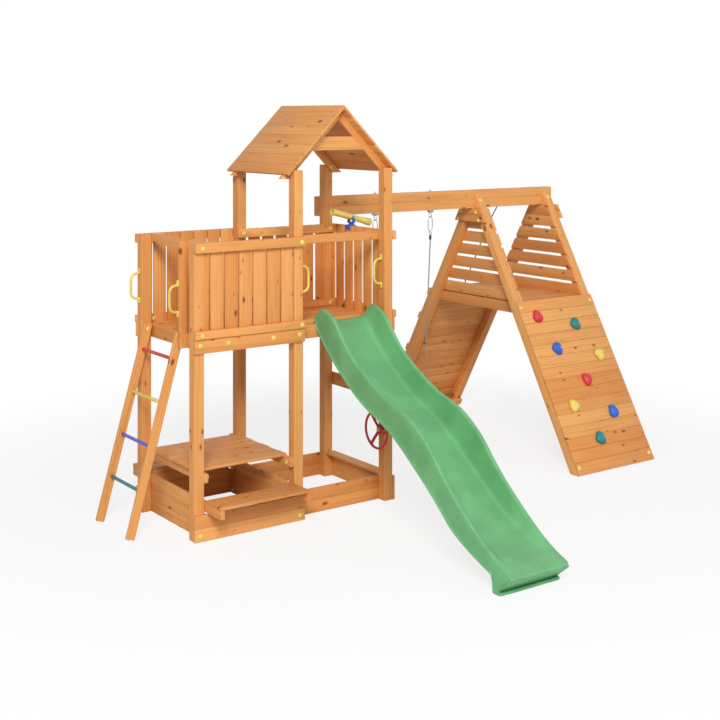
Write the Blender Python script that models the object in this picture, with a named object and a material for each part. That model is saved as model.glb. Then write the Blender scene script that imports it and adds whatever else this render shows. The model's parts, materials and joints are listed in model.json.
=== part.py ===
"""Wooden playground set: a roofed play tower with a picnic table and a sandbox
under its deck, a ladder, a wavy slide, a double beam with a swing, and a climbing
A-frame with a cabin, a climbing wall and a boarded ramp.

Metres, +Z up. The origin is the centre of the front left post's foot. X runs to
the right along the front, Y runs to the back.
"""
import math

import bmesh
import bpy
from mathutils import Matrix, Vector

# Fits
CLEAR = 0.0003          # gap between pieces that bear on each other
HOUSED = 0.0008         # how far a fused board is let into the piece that carries it
BOARD_SEAM = 0.001      # seam between boards laid edge to edge
GROOVE = 0.002          # depth of the V groove where boards meet in one panel

# Timber stock
POST = 0.080            # square posts, beams and A-frame legs
RAIL = 0.034            # thickness of rails, cleats, brackets and rafters
RAIL_H = 0.069          # height of the top rails
BOARD = 0.0197          # thickness of boards and slats
BASE_H = 0.095          # height of one base board
SLAT_T = 0.014          # thickness of the guard slats
SLAT_W = 0.108          # width of a guard slat in the left bay
SLAT_GAP = 0.0125
OPEN_SLAT_W = 0.105     # the same in the right bay, where they stand further apart
OPEN_SLAT_GAP = 0.026
LEAST_SLAT = 0.015      # a narrower remnant is left out
EASED = 0.003           # eased edges of the heavy timber

# Tower
BAY = 0.850             # distance between post centres
SHORT_POST = 2.145      # height of the two left posts
TALL_POST = 2.650       # height of the four posts that carry the roof
DECK_TOP = 1.4555
DECK_T = 0.022
GUARD_TOP = 2.147       # top of the guard rails
LOWER_RAIL_H = 0.058
FRAME_LIP = 0.0005      # tops of the boards that frame the deck, above it
FRAME_H = 0.104
RAIL_OVERHANG = 0.005   # rails stand this far past the posts
LEFT_FIRST_GAP = 0.046  # middle of the first gap between slats, from the post face
RIGHT_FIRST_GAP = 0.0535
BACK_FIRST_GAP = 0.013
JOIST_INSETS = (0.233, 0.614)   # joists, from the left post of each bay
JOIST_H = 0.080
DECK_BOARD_W = 0.086
DECK_GAP = 0.004
SILL_Y = 0.0745         # front edge of the sill at the slide doorway
SILL_W = 0.069
SILL_H = 0.034

# Ladder on the left side
JAMB_Y = 0.221          # front face of the standing jamb beside the doorway
JAMB_W = 0.062
JAMB_SETDOWN = 0.007    # its top, below the safety bar's
LADDER_FOOT_X = -0.399  # where the stringers' middle line meets the ground
LADDER_TOP_X = 0.0065   # centre of the stringers at their top
LADDER_RISE = 0.006     # tops of the stringers' middle line, above the deck's frame
RUNG_D = 0.027
RUNG_HEIGHTS = {"rung_red": 1.271, "rung_yellow": 0.958, "rung_violet": 0.645, "rung_teal": 0.336}

# Table and benches in the left bay
TABLE_TOP_Z = 0.498
TABLE_CLEAT_H = 0.068
TABLE_BOARDS = 6
TABLE_LEFT = 0.015
TABLE_SHORT = 0.055     # right ends of its boards, from the middle post's centre
TABLE_FRONT = 0.042
TABLE_DEPTH = 0.745
TABLE_GAP = 0.005
TABLE_STAGGER = 0.008
BENCH_TOP_Z = 0.297
BENCH_REACH = 0.248     # from the seat's outer edge to the post face
BENCH_DEPTH = 0.223
BENCH_SHORT = 0.060
BRACKET_H = 0.069
BRACKET_SETBACK = 0.004  # the seat stands this far past its brackets

# Right side of the tower
SEAT_W = 0.092          # seat board on the sandbox edge
MID_BOARD_BOTTOM = 0.777
MID_BOARD_H = 0.103

# Roof
RIDGE_RISE = 0.473      # underside of the roof boards at the ridge, above the tall posts
ROOF_RUN = 0.510        # ridge to eaves, measured level
ROOF_BOARDS = 7
ROOF_BOARD_T = 0.018
RAFTER_H = 0.060
RAFTER_DROP = 0.066     # feet of the rafters, below the tops of the tall posts
TIE_RISE = 0.147        # underside of the collar tie, above the tall posts
TIE_H = 0.106

# Grab handles
HANDLE_H = 0.275
HANDLE_REACH = 0.085    # from the post face to the far side of the grip
GRIP_D = 0.021
GRIP_BEND = 0.048       # radius of the two bends
GRIP_ARM_Z = 0.098      # arms, from the middle
PAD_W = 0.030
PAD_T = 0.012
PAD_CORNER = 0.006
LADDER_HANDLES = (1.718, 1.750)                     # middle heights, jamb and post
SLIDE_HANDLES = (1.820, 1.828)                      # middle heights, left and right

# Slide
SLIDE_X = 1.3225        # middle of the slide
SLIDE_W = 0.515         # over the outer side walls
SLIDE_WALL = 0.007
SLIDE_FLANGE = 0.008    # rib along the lower edge of the side walls
FLANGE_H = 0.014
RIM_W = 0.034           # rolled rim
TROUGH_SLOPE = 0.050    # inner side between the rim and the floor
SLIDE_FILLET = 0.030    # bend between the inner side and the floor
SLIDE_ROLL = 0.016      # depth of the rolled rim
TOE_LENGTH = 0.030
TOE_H = 0.018
FOOT_Y = -2.002         # back edge of the foot
UNDERCUT_Y = -2.055     # where the undercut meets the toe
LIP_Y = -2.180
LIP_UNDER_Z = 0.112
SLIDE_DECK_TOP = 1.4555     # deck height that the lines below are for; they stretch with DECK_TOP
RIM_LINE = ((0.075, 1.490), (0.060, 1.522), (0.034, 1.554), (-0.003, 1.575), (-0.035, 1.581),
            (-0.070, 1.571), (-0.110, 1.557), (-0.160, 1.532), (-0.190, 1.512), (-0.369, 1.306),
            (-0.628, 1.137), (-0.852, 1.030), (-1.091, 0.957), (-1.320, 0.805), (-1.497, 0.612),
            (-1.709, 0.430), (-1.914, 0.276), (-2.100, 0.172), (-2.181, 0.138))
FLOOR_LINE = ((0.040, 1.4633), (0.000, 1.440), (-0.060, 1.395), (-0.111, 1.343), (-0.298, 1.177),
              (-0.606, 0.966), (-0.898, 0.839), (-1.176, 0.664), (-1.398, 0.495), (-1.611, 0.350),
              (-1.856, 0.240), (-2.050, 0.178), (-2.140, 0.152), (-2.181, 0.134))
SKIRT_LINE = ((0.040, 1.415), (0.026, 1.407), (-0.016, 1.366), (-0.086, 1.294), (-0.302, 1.114),
              (-0.566, 0.948), (-0.915, 0.800), (-1.198, 0.611), (-1.421, 0.441), (-1.595, 0.291),
              (-1.824, 0.179), (-2.010, 0.108))
EAR_END_Y = -0.190      # the ears run out here
EAR_ROWS = 6            # sections over the ears and over the rest of the slide
SLIDE_ROWS = 22
STEP_Y = 0.0005         # the side walls drop within this length

# Steering wheel on the front right post
WHEEL_Z = 0.566
WHEEL_R = 0.145
WHEEL_RIM_D = 0.022
WHEEL_HUB_R = 0.030
WHEEL_DISH = 0.030      # rim plane to hub plane
SPOKE_W = 0.026
SPOKE_T = 0.010
SPINDLE_R = 0.008
SPINDLE_FLANGE_R = 0.024
SPINDLE_FLANGE_T = 0.012
HUB_T = 0.014
HUB_CAP_R = 0.017
HUB_CAP_T = 0.012

# Telescope on the right top rail
SCOPE_Y = 0.557
SCOPE_TILT = 15.0       # degrees below level at rest
SCOPE_R = 0.025
SCOPE_BORE_R = 0.019
SCOPE_LENGTH = 0.400
SCOPE_PIVOT_RISE = 0.071        # above the rail
EYE_RING = 0.003        # how far the rings at the tube's ends stand out
EYE_RING_L = 0.035
FRONT_RING = 0.008
FRONT_RING_L = 0.050
CLAMP_T = 0.008
CLAMP_DROP = 0.030
CLAMP_W = 0.060
BOSS_R = 0.022
BOSS_H = 0.014
BOSS_FLOOR = 0.003      # left under the stem's bore
STEM_R = 0.008
YOKE_GAP = 0.060
YOKE_T = 0.009
YOKE_W = 0.024
TRUNNION_R = 0.0075

# Beam and swing
BEAM_BOTTOM = 2.207
BEAM_RIGHT = 4.389
SWING_X = 2.5925        # middle of the swing
HANGER_SPREAD = 0.3125  # hangers, from the middle
SEAT_SPREAD = 0.240     # rope ends on the seat, from the middle
BEAM_H = 0.167
EYE_DROP = 0.061        # beam to the swing's axis
EYE_W = 0.036
EYE_H = 0.050
EYE_PLATE = 0.044
WIRE_R = 0.004
CARABINER_L = 0.132
CARABINER_W = 0.050
THIMBLE_L = 0.044
THIMBLE_W = 0.026
FERRULE_L = 0.040
FERRULE_R = 0.010
ROPE_D = 0.012
SWING_SEAT_Z = 0.450
SWING_SEAT_L = 0.440
SWING_SEAT_W = 0.165
SWING_SEAT_T = 0.028
SEAT_END = 0.040        # seat beyond its nominal length, round the ropes
SEAT_CORNER = 0.030
LUG_R = 0.014
LUG_H = 0.016

# Climbing A-frame
AFRAME_LEFT = 3.410     # outer face of the left pair of legs
AFRAME_WIDTH = 0.940
LEG_TOP = 2.350
FRONT_SPREAD = 1.334    # outer edge of the front feet, from the beam
BACK_SPREAD = 1.380
GUSSET_H = 0.063
SIDE_SLAT_H = 0.100
SIDE_SLAT_PITCH = 0.1245
SIDE_SLAT_BOTTOM = 1.377
TOP_SLAT_DROP = 0.005   # the highest slat, below the beam
SLAT_INSET = 0.003      # slat ends, inside the legs' outer edges
FLOOR_INSET = 0.005
CABIN_FLOOR_Z = 1.385
CABIN_BEAM_H = 0.095
CABIN_FLOOR_BOARDS = 11
WALL_BOARDS = 15
WALL_TOP = 1.382
BATTEN_H = 0.070
BATTEN_HEIGHTS = (0.410, 0.747, 1.087, 1.336)
HOLD_R = 0.050
HOLD_T = 0.042
HOLDS = ((0.177, 1.428), (0.596, 1.319), (0.271, 1.115), (0.750, 1.007),
         (0.486, 0.798), (0.220, 0.586), (0.655, 0.476), (0.386, 0.272))
CLIMBING_ROPE_X = 3.870
KNOT_R = 0.020
ROPE_HOLE_Z = 2.330
ROPE_ARCH = ((0.018, 0.0), (0.052, -0.024), (0.085, -0.085))   # from the hole, over the beam's edge
ROPE_HEIGHTS = (2.05, 1.75, 1.40, 1.00)     # where it lies on the ramp
ROPE_END_Z = 0.560

# Worked out from the sizes above
HALF = POST / 2
RIGHT = 2 * BAY
BACK_OUT = BAY + HALF
BACK_IN = BAY - HALF
DECK_BOTTOM = DECK_TOP - DECK_T
FRAME_TOP = DECK_TOP + FRAME_LIP
LOWER_RAIL_BOTTOM = FRAME_TOP + BOARD_SEAM
LADDER_TOP_Z = FRAME_TOP + LADDER_RISE
TOP_RAIL = (GUARD_TOP - RAIL_H, GUARD_TOP)
LOWER_RAIL = (LOWER_RAIL_BOTTOM, LOWER_RAIL_BOTTOM + LOWER_RAIL_H)
FRAME_BOARD = (FRAME_TOP - FRAME_H, FRAME_TOP)
SEAT_PLANE = BACK_OUT + POST
RIDGE_X = 1.5 * BAY
RIDGE_Z = TALL_POST + RIDGE_RISE
RAFTER_FOOT_Z = TALL_POST - RAFTER_DROP
BEAM_LEFT = RIGHT - HALF
LEG_FRONT_SLOPE = FRONT_SPREAD / LEG_TOP
LEG_BACK_SLOPE = BACK_SPREAD / LEG_TOP
AFRAME_RIGHT = AFRAME_LEFT + AFRAME_WIDTH

TIMBER = ((0.72, 0.33, 0.11), 0.55, 0.0)
YELLOW = ((0.85, 0.66, 0.08), 0.35, 0.0)
RED = ((0.78, 0.04, 0.05), 0.35, 0.0)
BLUE = ((0.03, 0.14, 0.68), 0.35, 0.0)
VIOLET = ((0.12, 0.12, 0.78), 0.35, 0.0)
TEAL = ((0.01, 0.22, 0.24), 0.35, 0.0)
GREEN = ((0.13, 0.50, 0.19), 0.35, 0.0)
STEEL = ((0.60, 0.60, 0.60), 0.30, 1.0)
ROPE = ((0.62, 0.56, 0.48), 0.85, 0.0)
GREY_ROPE = ((0.08, 0.08, 0.08), 0.85, 0.0)


def clear_scene():
    """Remove whatever the scene holds."""
    for item in list(bpy.data.objects):
        bpy.data.objects.remove(item, do_unlink=True)


def finish(name, look):
    """Make the Principled material of one sub-part."""
    colour, roughness, metallic = look
    material = bpy.data.materials.new(name + "_finish")
    material.use_nodes = True
    shader = material.node_tree.nodes["Principled BSDF"]
    shader.inputs["Base Color"].default_value = (*colour, 1.0)
    shader.inputs["Roughness"].default_value = roughness
    shader.inputs["Metallic"].default_value = metallic
    material.diffuse_color = (*colour, 1.0)
    return material


def add(name, bm, look, smooth=False, bevel=0.0):
    """Turn a bmesh into a named object with its own material."""
    bmesh.ops.recalc_face_normals(bm, faces=bm.faces)
    mesh = bpy.data.meshes.new(name)
    bm.to_mesh(mesh)
    bm.free()
    mesh.materials.append(finish(name, look))
    if smooth:
        mesh.shade_smooth()
        mesh.set_sharp_from_angle(angle=math.radians(35))
    piece = bpy.data.objects.new(name, mesh)
    bpy.context.collection.objects.link(piece)
    if bevel:
        eased = piece.modifiers.new("eased_edges", "BEVEL")
        eased.width = bevel
        eased.segments = 1
        eased.limit_method = "ANGLE"
    return piece


def tool(name, bm, piece, operation):
    """Cut or join a hidden shape with a piece."""
    shape = add(name, bm, TIMBER)
    shape.hide_render = True
    shape.display_type = "WIRE"
    boolean = piece.modifiers.new(name, "BOOLEAN")
    boolean.operation = operation
    boolean.solver = "EXACT"
    boolean.object = shape
    return shape


def fused(name, bm, joined):
    """Make a piece of timbers joined where they cross."""
    piece = add(name, bm, TIMBER)
    tool(name + "_joined", joined, piece, "UNION")
    return piece


def hang(pieces, name, place, turn=None):
    """Parent pieces, modelled in place, to an empty on their joint's axis."""
    pivot = bpy.data.objects.new(name, None)
    bpy.context.collection.objects.link(pivot)
    pivot.location = place
    if turn:
        pivot.rotation_euler = turn
    back = (Matrix.Translation(place) @ (pivot.rotation_euler.to_matrix().to_4x4())).inverted()
    for piece in pieces:
        piece.parent = pivot
        piece.data.transform(back)
    return pivot


def block(bm, x, y, z):
    """Add a box from three (low, high) pairs."""
    size = [high - low for low, high in (x, y, z)]
    middle = [(high + low) / 2 for low, high in (x, y, z)]
    place = Matrix.Translation(middle) @ Matrix.Diagonal((*size, 1.0))
    bmesh.ops.create_cube(bm, size=1.0, matrix=place)


def prism(bm, outline, axis, low, high):
    """Extrude an outline along X, Y or Z from low to high."""
    def corner(a, b):
        return {"X": (low, a, b), "Y": (a, low, b), "Z": (a, b, low)}[axis]
    step = {"X": Vector((1, 0, 0)), "Y": Vector((0, 1, 0)), "Z": Vector((0, 0, 1))}[axis]
    face = bm.faces.new([bm.verts.new(corner(a, b)) for a, b in outline])
    grown = bmesh.ops.extrude_face_region(bm, geom=[face])
    top = [item for item in grown["geom"] if isinstance(item, bmesh.types.BMVert)]
    bmesh.ops.translate(bm, verts=top, vec=step * (high - low))


def cylinder(bm, middle, radius, length, axis, sides=16):
    """Add a closed cylinder centred on middle."""
    turn = {"X": Matrix.Rotation(math.pi / 2, 4, "Y"), "Y": Matrix.Rotation(math.pi / 2, 4, "X"),
            "Z": Matrix.Identity(4)}[axis]
    bmesh.ops.create_cone(bm, cap_ends=True, segments=sides, radius1=radius, radius2=radius,
                          depth=length, matrix=Matrix.Translation(middle) @ turn)


def turned(bm, profile, place, steps=16):
    """Spin a profile of (radius, height) about Z, then set it in place."""
    points = [bm.verts.new((radius, 0, height)) for radius, height in profile]
    edges = [bm.edges.new(pair) for pair in zip(points, points[1:])]
    if profile[0][0] > 0 and profile[-1][0] > 0:
        edges.append(bm.edges.new((points[-1], points[0])))
    before = set(bm.verts) - set(points)
    bmesh.ops.spin(bm, geom=points + edges, cent=(0, 0, 0), axis=(0, 0, 1),
                   angle=2 * math.pi, steps=steps, use_merge=True)
    made = [vert for vert in bm.verts if vert not in before]
    bmesh.ops.remove_doubles(bm, verts=made, dist=0.00001)
    made = [vert for vert in bm.verts if vert not in before]
    bmesh.ops.transform(bm, matrix=place, verts=made)


def skin(bm, loops):
    """Join closed loops of points into one capped body."""
    rings = [[bm.verts.new(point) for point in loop] for loop in loops]
    for ring, following in zip(rings, rings[1:]):
        count = len(ring)
        for index in range(count):
            after = (index + 1) % count
            bm.faces.new((ring[index], ring[after], following[after], following[index]))
    bm.faces.new(rings[0])
    bm.faces.new(reversed(rings[-1]))
    return rings


def link_ring(bm, path, radius, sides=6):
    """Sweep a round wire along a closed path of points."""
    count = len(path)
    rings = []
    middle = sum((Vector(point) for point in path), Vector()) / count
    normal = (Vector(path[0]) - middle).cross(Vector(path[1]) - middle).normalized()
    for index, point in enumerate(path):
        along = (Vector(path[(index + 1) % count]) - Vector(path[index - 1])).normalized()
        outward = along.cross(normal)
        rings.append([bm.verts.new(Vector(point)
                                   + outward * radius * math.cos(2 * math.pi * side / sides)
                                   + normal * radius * math.sin(2 * math.pi * side / sides))
                      for side in range(sides)])
    for index, ring in enumerate(rings):
        following = rings[(index + 1) % count]
        for side in range(sides):
            after = (side + 1) % sides
            bm.faces.new((ring[side], ring[after], following[after], following[side]))


def stadium(middle, width, height, plane, bend=4):
    """Points of an upright rounded link, width by height over its wire's centre."""
    radius = width / 2
    straight = height / 2 - radius
    points = []
    for end, start in ((1, 0.0), (-1, math.pi)):
        for step in range(bend + 1):
            angle = start + math.pi * step / bend
            across = radius * math.cos(angle)
            up = radius * math.sin(angle) + end * straight
            offset = (across, 0, up) if plane == "XZ" else (0, across, up)
            points.append(Vector(middle) + Vector(offset))
    return points


def smooth_path(points, count):
    """Read count evenly spaced points from a smooth curve through the given ones."""
    given = [Vector(point) for point in points]
    ends = [given[0] * 2 - given[1]] + given + [given[-1] * 2 - given[-2]]
    fine = []
    for before, start, stop, after in zip(ends, ends[1:], ends[2:], ends[3:]):
        for step in range(20):
            t = step / 20
            fine.append(0.5 * (2 * start + (stop - before) * t
                               + (2 * before - 5 * start + 4 * stop - after) * t * t
                               + (3 * start - before - 3 * stop + after) * t * t * t))
    fine.append(given[-1])
    lengths = [0.0]
    for start, stop in zip(fine, fine[1:]):
        lengths.append(lengths[-1] + (stop - start).length)
    result = []
    index = 0
    for step in range(count):
        target = lengths[-1] * step / (count - 1)
        while index < len(fine) - 2 and lengths[index + 1] < target:
            index += 1
        share = (target - lengths[index]) / (lengths[index + 1] - lengths[index])
        result.append(fine[index].lerp(fine[index + 1], share))
    return result


def height_on(line, y):
    """Height at y on a smooth line of the slide, whose points run towards lower y."""
    index = 0
    while index < len(line) - 2 and y < line[index + 1][0]:
        index += 1
    (y0, z0), (y1, z1) = line[index], line[index + 1]
    ya, za = line[index - 1] if index else (2 * y0 - y1, 2 * z0 - z1)
    yb, zb = line[index + 2] if index + 2 < len(line) else (2 * y1 - y0, 2 * z1 - z0)
    t = (y - y0) / (y1 - y0)
    t = min(max(t, 0.0), 1.0)
    span = y1 - y0
    slope0 = (z1 - za) / (y1 - ya) * span
    slope1 = (zb - z0) / (yb - y0) * span
    height = ((2 * t ** 3 - 3 * t ** 2 + 1) * z0 + (t ** 3 - 2 * t ** 2 + t) * slope0
              + (-2 * t ** 3 + 3 * t ** 2) * z1 + (t ** 3 - t ** 2) * slope1)
    return height * DECK_TOP / SLIDE_DECK_TOP


def rope(name, points, look, count):
    """A round cord: straight out of both ends, and on a smooth route between them."""
    curve = bpy.data.curves.new(name, "CURVE")
    curve.dimensions = "3D"
    curve.bevel_depth = ROPE_D / 2
    curve.bevel_resolution = 2
    curve.use_fill_caps = True
    route = [points[0]] + smooth_path(points[1:-1], count - 2) + [points[-1]]
    spline = curve.splines.new("POLY")
    spline.points.add(len(route) - 1)
    for spot, point in zip(spline.points, route):
        spot.co = (*point, 1.0)
    curve.materials.append(finish(name, look))
    piece = bpy.data.objects.new(name, curve)
    bpy.context.collection.objects.link(piece)
    return piece


def beyond(plane, thickness, side):
    """Low and high of a board that lies against a plane, on one side of it."""
    near = plane + side * CLEAR
    far = near + side * thickness
    return (min(near, far), max(near, far))


def between(low, high):
    """Span of a piece that fits between two faces."""
    return (low + CLEAR, high - CLEAR)


def row(low, high, count, gap):
    """Even spans of count boards from low to high."""
    pitch = (high - low + gap) / count
    return [(low + pitch * index, low + pitch * index + pitch - gap) for index in range(count)]


def slat_spans(low, high, first_gap, width, gap):
    """Guard slats between two posts, set out from the middle of the first gap."""
    start = low + first_gap - gap / 2 - width
    spans = []
    while start < high:
        near = max(start, low + CLEAR)
        far = min(start + width, high - CLEAR)
        if far - near > LEAST_SLAT:
            spans.append((near, far))
        start += width + gap
    return spans


def front_edge(z):
    """Outer edge of the front A-frame legs at height z."""
    return BACK_OUT - FRONT_SPREAD + LEG_FRONT_SLOPE * z


def back_edge(z):
    """Outer edge of the back A-frame legs at height z."""
    return SEAT_PLANE + BACK_SPREAD - LEG_BACK_SLOPE * z


def posts():
    """Six square posts."""
    heights = {
        "post_front_left": (0, 0, SHORT_POST),
        "post_front_middle": (1, 0, TALL_POST),
        "post_front_right": (2, 0, TALL_POST),
        "post_back_left": (0, 1, SHORT_POST),
        "post_back_middle": (1, 1, TALL_POST),
        "post_back_right": (2, 1, TALL_POST),
    }
    for name, (column, line, height) in heights.items():
        bm = bmesh.new()
        x = column * BAY
        y = line * BAY
        block(bm, (x - HALF, x + HALF), (y - HALF, y + HALF), (0, height))
        add(name, bm, TIMBER, bevel=EASED)


def guard_panels():
    """Rails, frame board and upright slats of the closed sides, fused as panels."""
    slat_z = (FRAME_BOARD[0], GUARD_TOP)
    bay_x = (-HALF - RAIL_OVERHANG, BAY + HALF + RAIL_OVERHANG)
    right_y = (-HALF - RAIL_OVERHANG, BACK_OUT + RAIL_OVERHANG)
    left_slats = slat_spans(HALF, BAY - HALF, LEFT_FIRST_GAP, SLAT_W, SLAT_GAP)

    rails = bmesh.new()
    slats = bmesh.new()
    for z in (TOP_RAIL, LOWER_RAIL):
        block(rails, bay_x, beyond(-HALF, RAIL, -1), z)
    block(rails, bay_x, beyond(-HALF, BOARD, -1), FRAME_BOARD)
    for x in left_slats:
        block(slats, x, (-HALF - HOUSED, -HALF + SLAT_T), slat_z)
    fused("guard_front", rails, slats)

    rails = bmesh.new()
    slats = bmesh.new()
    for z in (TOP_RAIL, LOWER_RAIL):
        block(rails, bay_x, beyond(BACK_OUT, RAIL, 1), z)
    block(rails, (-HALF - RAIL_OVERHANG, RIGHT + HALF), beyond(BACK_OUT, BOARD, 1), FRAME_BOARD)
    for x in left_slats:
        block(slats, x, (BACK_OUT - SLAT_T, BACK_OUT + HOUSED), slat_z)
    fused("guard_back", rails, slats)

    rails = bmesh.new()
    slats = bmesh.new()
    for z in (TOP_RAIL, LOWER_RAIL):
        block(rails, beyond(RIGHT + HALF, RAIL, 1), right_y, z)
    block(rails, beyond(RIGHT + HALF, BOARD, 1), right_y, FRAME_BOARD)
    for y in slat_spans(HALF, BACK_IN, RIGHT_FIRST_GAP, OPEN_SLAT_W, OPEN_SLAT_GAP):
        block(slats, (RIGHT + HALF - SLAT_T, RIGHT + HALF + HOUSED), y, slat_z)
    fused("guard_right", rails, slats)

    rails = bmesh.new()
    slats = bmesh.new()
    inner_x = (BAY - HALF - RAIL_OVERHANG, RIGHT + HALF - SLAT_T - CLEAR)
    for z in (TOP_RAIL, LOWER_RAIL):
        block(rails, inner_x, beyond(BACK_IN, RAIL, -1), z)
    block(rails, inner_x, beyond(BACK_IN, BOARD, -1), FRAME_BOARD)
    near = BACK_IN - CLEAR
    for x in slat_spans(BAY + HALF, RIGHT - HALF, BACK_FIRST_GAP, OPEN_SLAT_W, OPEN_SLAT_GAP):
        block(slats, x, (near - HOUSED, near + SLAT_T), slat_z)
    fused("guard_back_right", rails, slats)


def doorways():
    """Safety bars of the ladder and slide doorways, and the ladder doorway's frame board."""
    across = between(-HALF + SLAT_T, BACK_OUT - SLAT_T)
    bars = bmesh.new()
    block(bars, beyond(HALF, RAIL, 1), across, TOP_RAIL)
    block(bars, beyond(HALF, BOARD, 1), across, FRAME_BOARD)
    uprights = bmesh.new()
    block(uprights, (HALF - JAMB_W, HALF + HOUSED), (JAMB_Y, JAMB_Y + RAIL),
          (FRAME_BOARD[0], GUARD_TOP - JAMB_SETDOWN))
    behind_bar = HALF + CLEAR + RAIL
    block(uprights, (behind_bar - HOUSED, behind_bar + SLAT_T), (HALF + CLEAR, JAMB_Y - SLAT_GAP),
          (DECK_TOP + CLEAR, GUARD_TOP))
    fused("ladder_doorway", bars, uprights)

    bm = bmesh.new()
    block(bm, (BAY - HALF, RIGHT + HALF - SLAT_T - CLEAR), beyond(HALF, RAIL, 1), TOP_RAIL)
    add("slide_safety_bar", bm, TIMBER, bevel=EASED)


def deck():
    """Deck boards on joists, with the frame board and the sill of the slide doorway."""
    inside = HALF + CLEAR + BOARD + HOUSED
    back_stop = BACK_IN - CLEAR - BOARD
    front_face = -HALF + SLAT_T
    back_face = BACK_OUT - SLAT_T
    right = RIGHT + HALF - SLAT_T - CLEAR
    doorway_x = (BAY - HALF, right)
    under = bmesh.new()
    z = (DECK_BOTTOM + HOUSED - JOIST_H, DECK_BOTTOM + HOUSED)
    for bay, y in ((0, between(front_face, back_face)),
                   (BAY, (HALF + CLEAR + BOARD - HOUSED, back_stop - CLEAR))):
        for inset in JOIST_INSETS:
            middle = bay + inset
            block(under, (middle - RAIL / 2, middle + RAIL / 2), y, z)
    block(under, doorway_x, (SILL_Y, SILL_Y + SILL_W), (DECK_TOP - HOUSED, DECK_TOP + SILL_H))

    boards = bmesh.new()
    z = (DECK_BOTTOM, DECK_TOP)
    count = round((back_stop - inside + DECK_GAP) / (DECK_BOARD_W + DECK_GAP))
    for y in row(inside, back_stop - CLEAR, count, DECK_GAP):
        block(boards, (inside, right), y, z)
    block(boards, (inside, BAY - HALF - CLEAR), (front_face + CLEAR, inside - DECK_GAP), z)
    block(boards, (inside, BAY - HALF - RAIL_OVERHANG - CLEAR),
          (back_stop + DECK_GAP, back_face - CLEAR), z)
    block(boards, doorway_x, beyond(HALF, BOARD, 1), FRAME_BOARD)
    fused("deck", under, boards)


def boarding(bm, axis, length, plane, base, levels):
    """Edge-to-edge boards as one panel: V grooves mark the seams on both faces."""
    near, far = plane
    front = [(near, base)]
    rear = [(far, base)]
    for level in range(1, levels):
        seam = base + BASE_H * level
        for face, inward in ((front, 1), (rear, -1)):
            edge = face[0][0]
            face.append((edge, seam - GROOVE))
            face.append((edge + inward * GROOVE, seam))
            face.append((edge, seam + GROOVE))
    top = base + BASE_H * levels
    outline = front + [(near, top), (far, top)] + rear[::-1]
    if axis == "X":
        prism(bm, outline, "X", *length)
    else:
        prism(bm, outline, "Y", *length)


def base():
    """Boards round the sandbox, the partition between the bays and the sandbox seat."""
    inner = (-HALF + CLEAR, BACK_OUT - CLEAR)
    middle = between(HALF, BACK_IN)
    third = (2 * BASE_H - HOUSED, 3 * BASE_H)
    outer_x = (-HALF - RAIL_OVERHANG, BAY + HALF + RAIL_OVERHANG)
    bm = bmesh.new()
    boarding(bm, "X", outer_x, beyond(-HALF, BOARD, -1), 0.0, 2)
    add("base_front", bm, TIMBER)
    bm = bmesh.new()
    boarding(bm, "X", between(BAY - HALF, RIGHT + HALF), beyond(HALF, BOARD, 1), 0.0, 2)
    add("base_slide", bm, TIMBER)
    for name, plane in (("base_left", beyond(HALF, BOARD, 1)),
                        ("base_partition", beyond(BAY - HALF, BOARD, -1))):
        bm = bmesh.new()
        upper = bmesh.new()
        boarding(bm, "Y", inner, plane, 0.0, 2)
        block(upper, plane, middle, third)
        fused(name, bm, upper)
    bm = bmesh.new()
    upper = bmesh.new()
    back = beyond(BACK_OUT, BOARD, 1)
    boarding(bm, "X", (-HALF - RAIL_OVERHANG, RIGHT + HALF), back, 0.0, 2)
    bracket = HALF + RAIL + CLEAR
    block(upper, between(bracket, BAY - bracket), back, third)
    fused("base_back", bm, upper)

    bm = bmesh.new()
    seat = bmesh.new()
    outer = RIGHT + HALF + CLEAR + BOARD
    boarding(bm, "Y", (-HALF - RAIL_OVERHANG, BACK_OUT + RAIL_OVERHANG), beyond(RIGHT + HALF, BOARD, 1),
             0.0, 2)
    block(seat, (outer - SEAT_W, outer), between(HALF + CLEAR + BOARD, BACK_IN),
          (2 * BASE_H - HOUSED, 2 * BASE_H + BOARD))
    fused("base_right", bm, seat)

    bm = bmesh.new()
    block(bm, beyond(RIGHT + HALF, BOARD, 1), (-HALF - RAIL_OVERHANG, BACK_OUT + RAIL_OVERHANG),
          (MID_BOARD_BOTTOM, MID_BOARD_BOTTOM + MID_BOARD_H))
    add("mid_board", bm, TIMBER)


def ladder():
    """Leaning stringers and four round rungs."""
    run = LADDER_TOP_X - LADDER_FOOT_X
    lean = math.atan2(run, LADDER_TOP_Z)
    half = JAMB_W / 2
    across = Vector((math.cos(lean), -math.sin(lean))) * half
    top = Vector((LADDER_TOP_X, LADDER_TOP_Z))
    rise = -across.y
    foot = Vector((LADDER_FOOT_X + run * rise / LADDER_TOP_Z, rise))
    outline = [tuple(foot - across), tuple(foot + across), tuple(top + across), tuple(top - across)]
    right_y = beyond(JAMB_Y + RAIL, RAIL, 1)
    left_y = beyond(BACK_IN, RAIL, -1)
    for name, (low, high) in (("ladder_stringer_right", right_y), ("ladder_stringer_left", left_y)):
        bm = bmesh.new()
        prism(bm, outline, "Y", low, high)
        add(name, bm, TIMBER, bevel=EASED)

    looks = {"rung_red": RED, "rung_yellow": YELLOW, "rung_violet": VIOLET, "rung_teal": TEAL}
    low, high = between(right_y[1], left_y[0])
    for name, z in RUNG_HEIGHTS.items():
        x = LADDER_FOOT_X + run * z / LADDER_TOP_Z
        bm = bmesh.new()
        cylinder(bm, (x, (low + high) / 2, z), RUNG_D / 2, high - low, "Y", sides=14)
        add(name, bm, looks[name], smooth=True)


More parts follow.
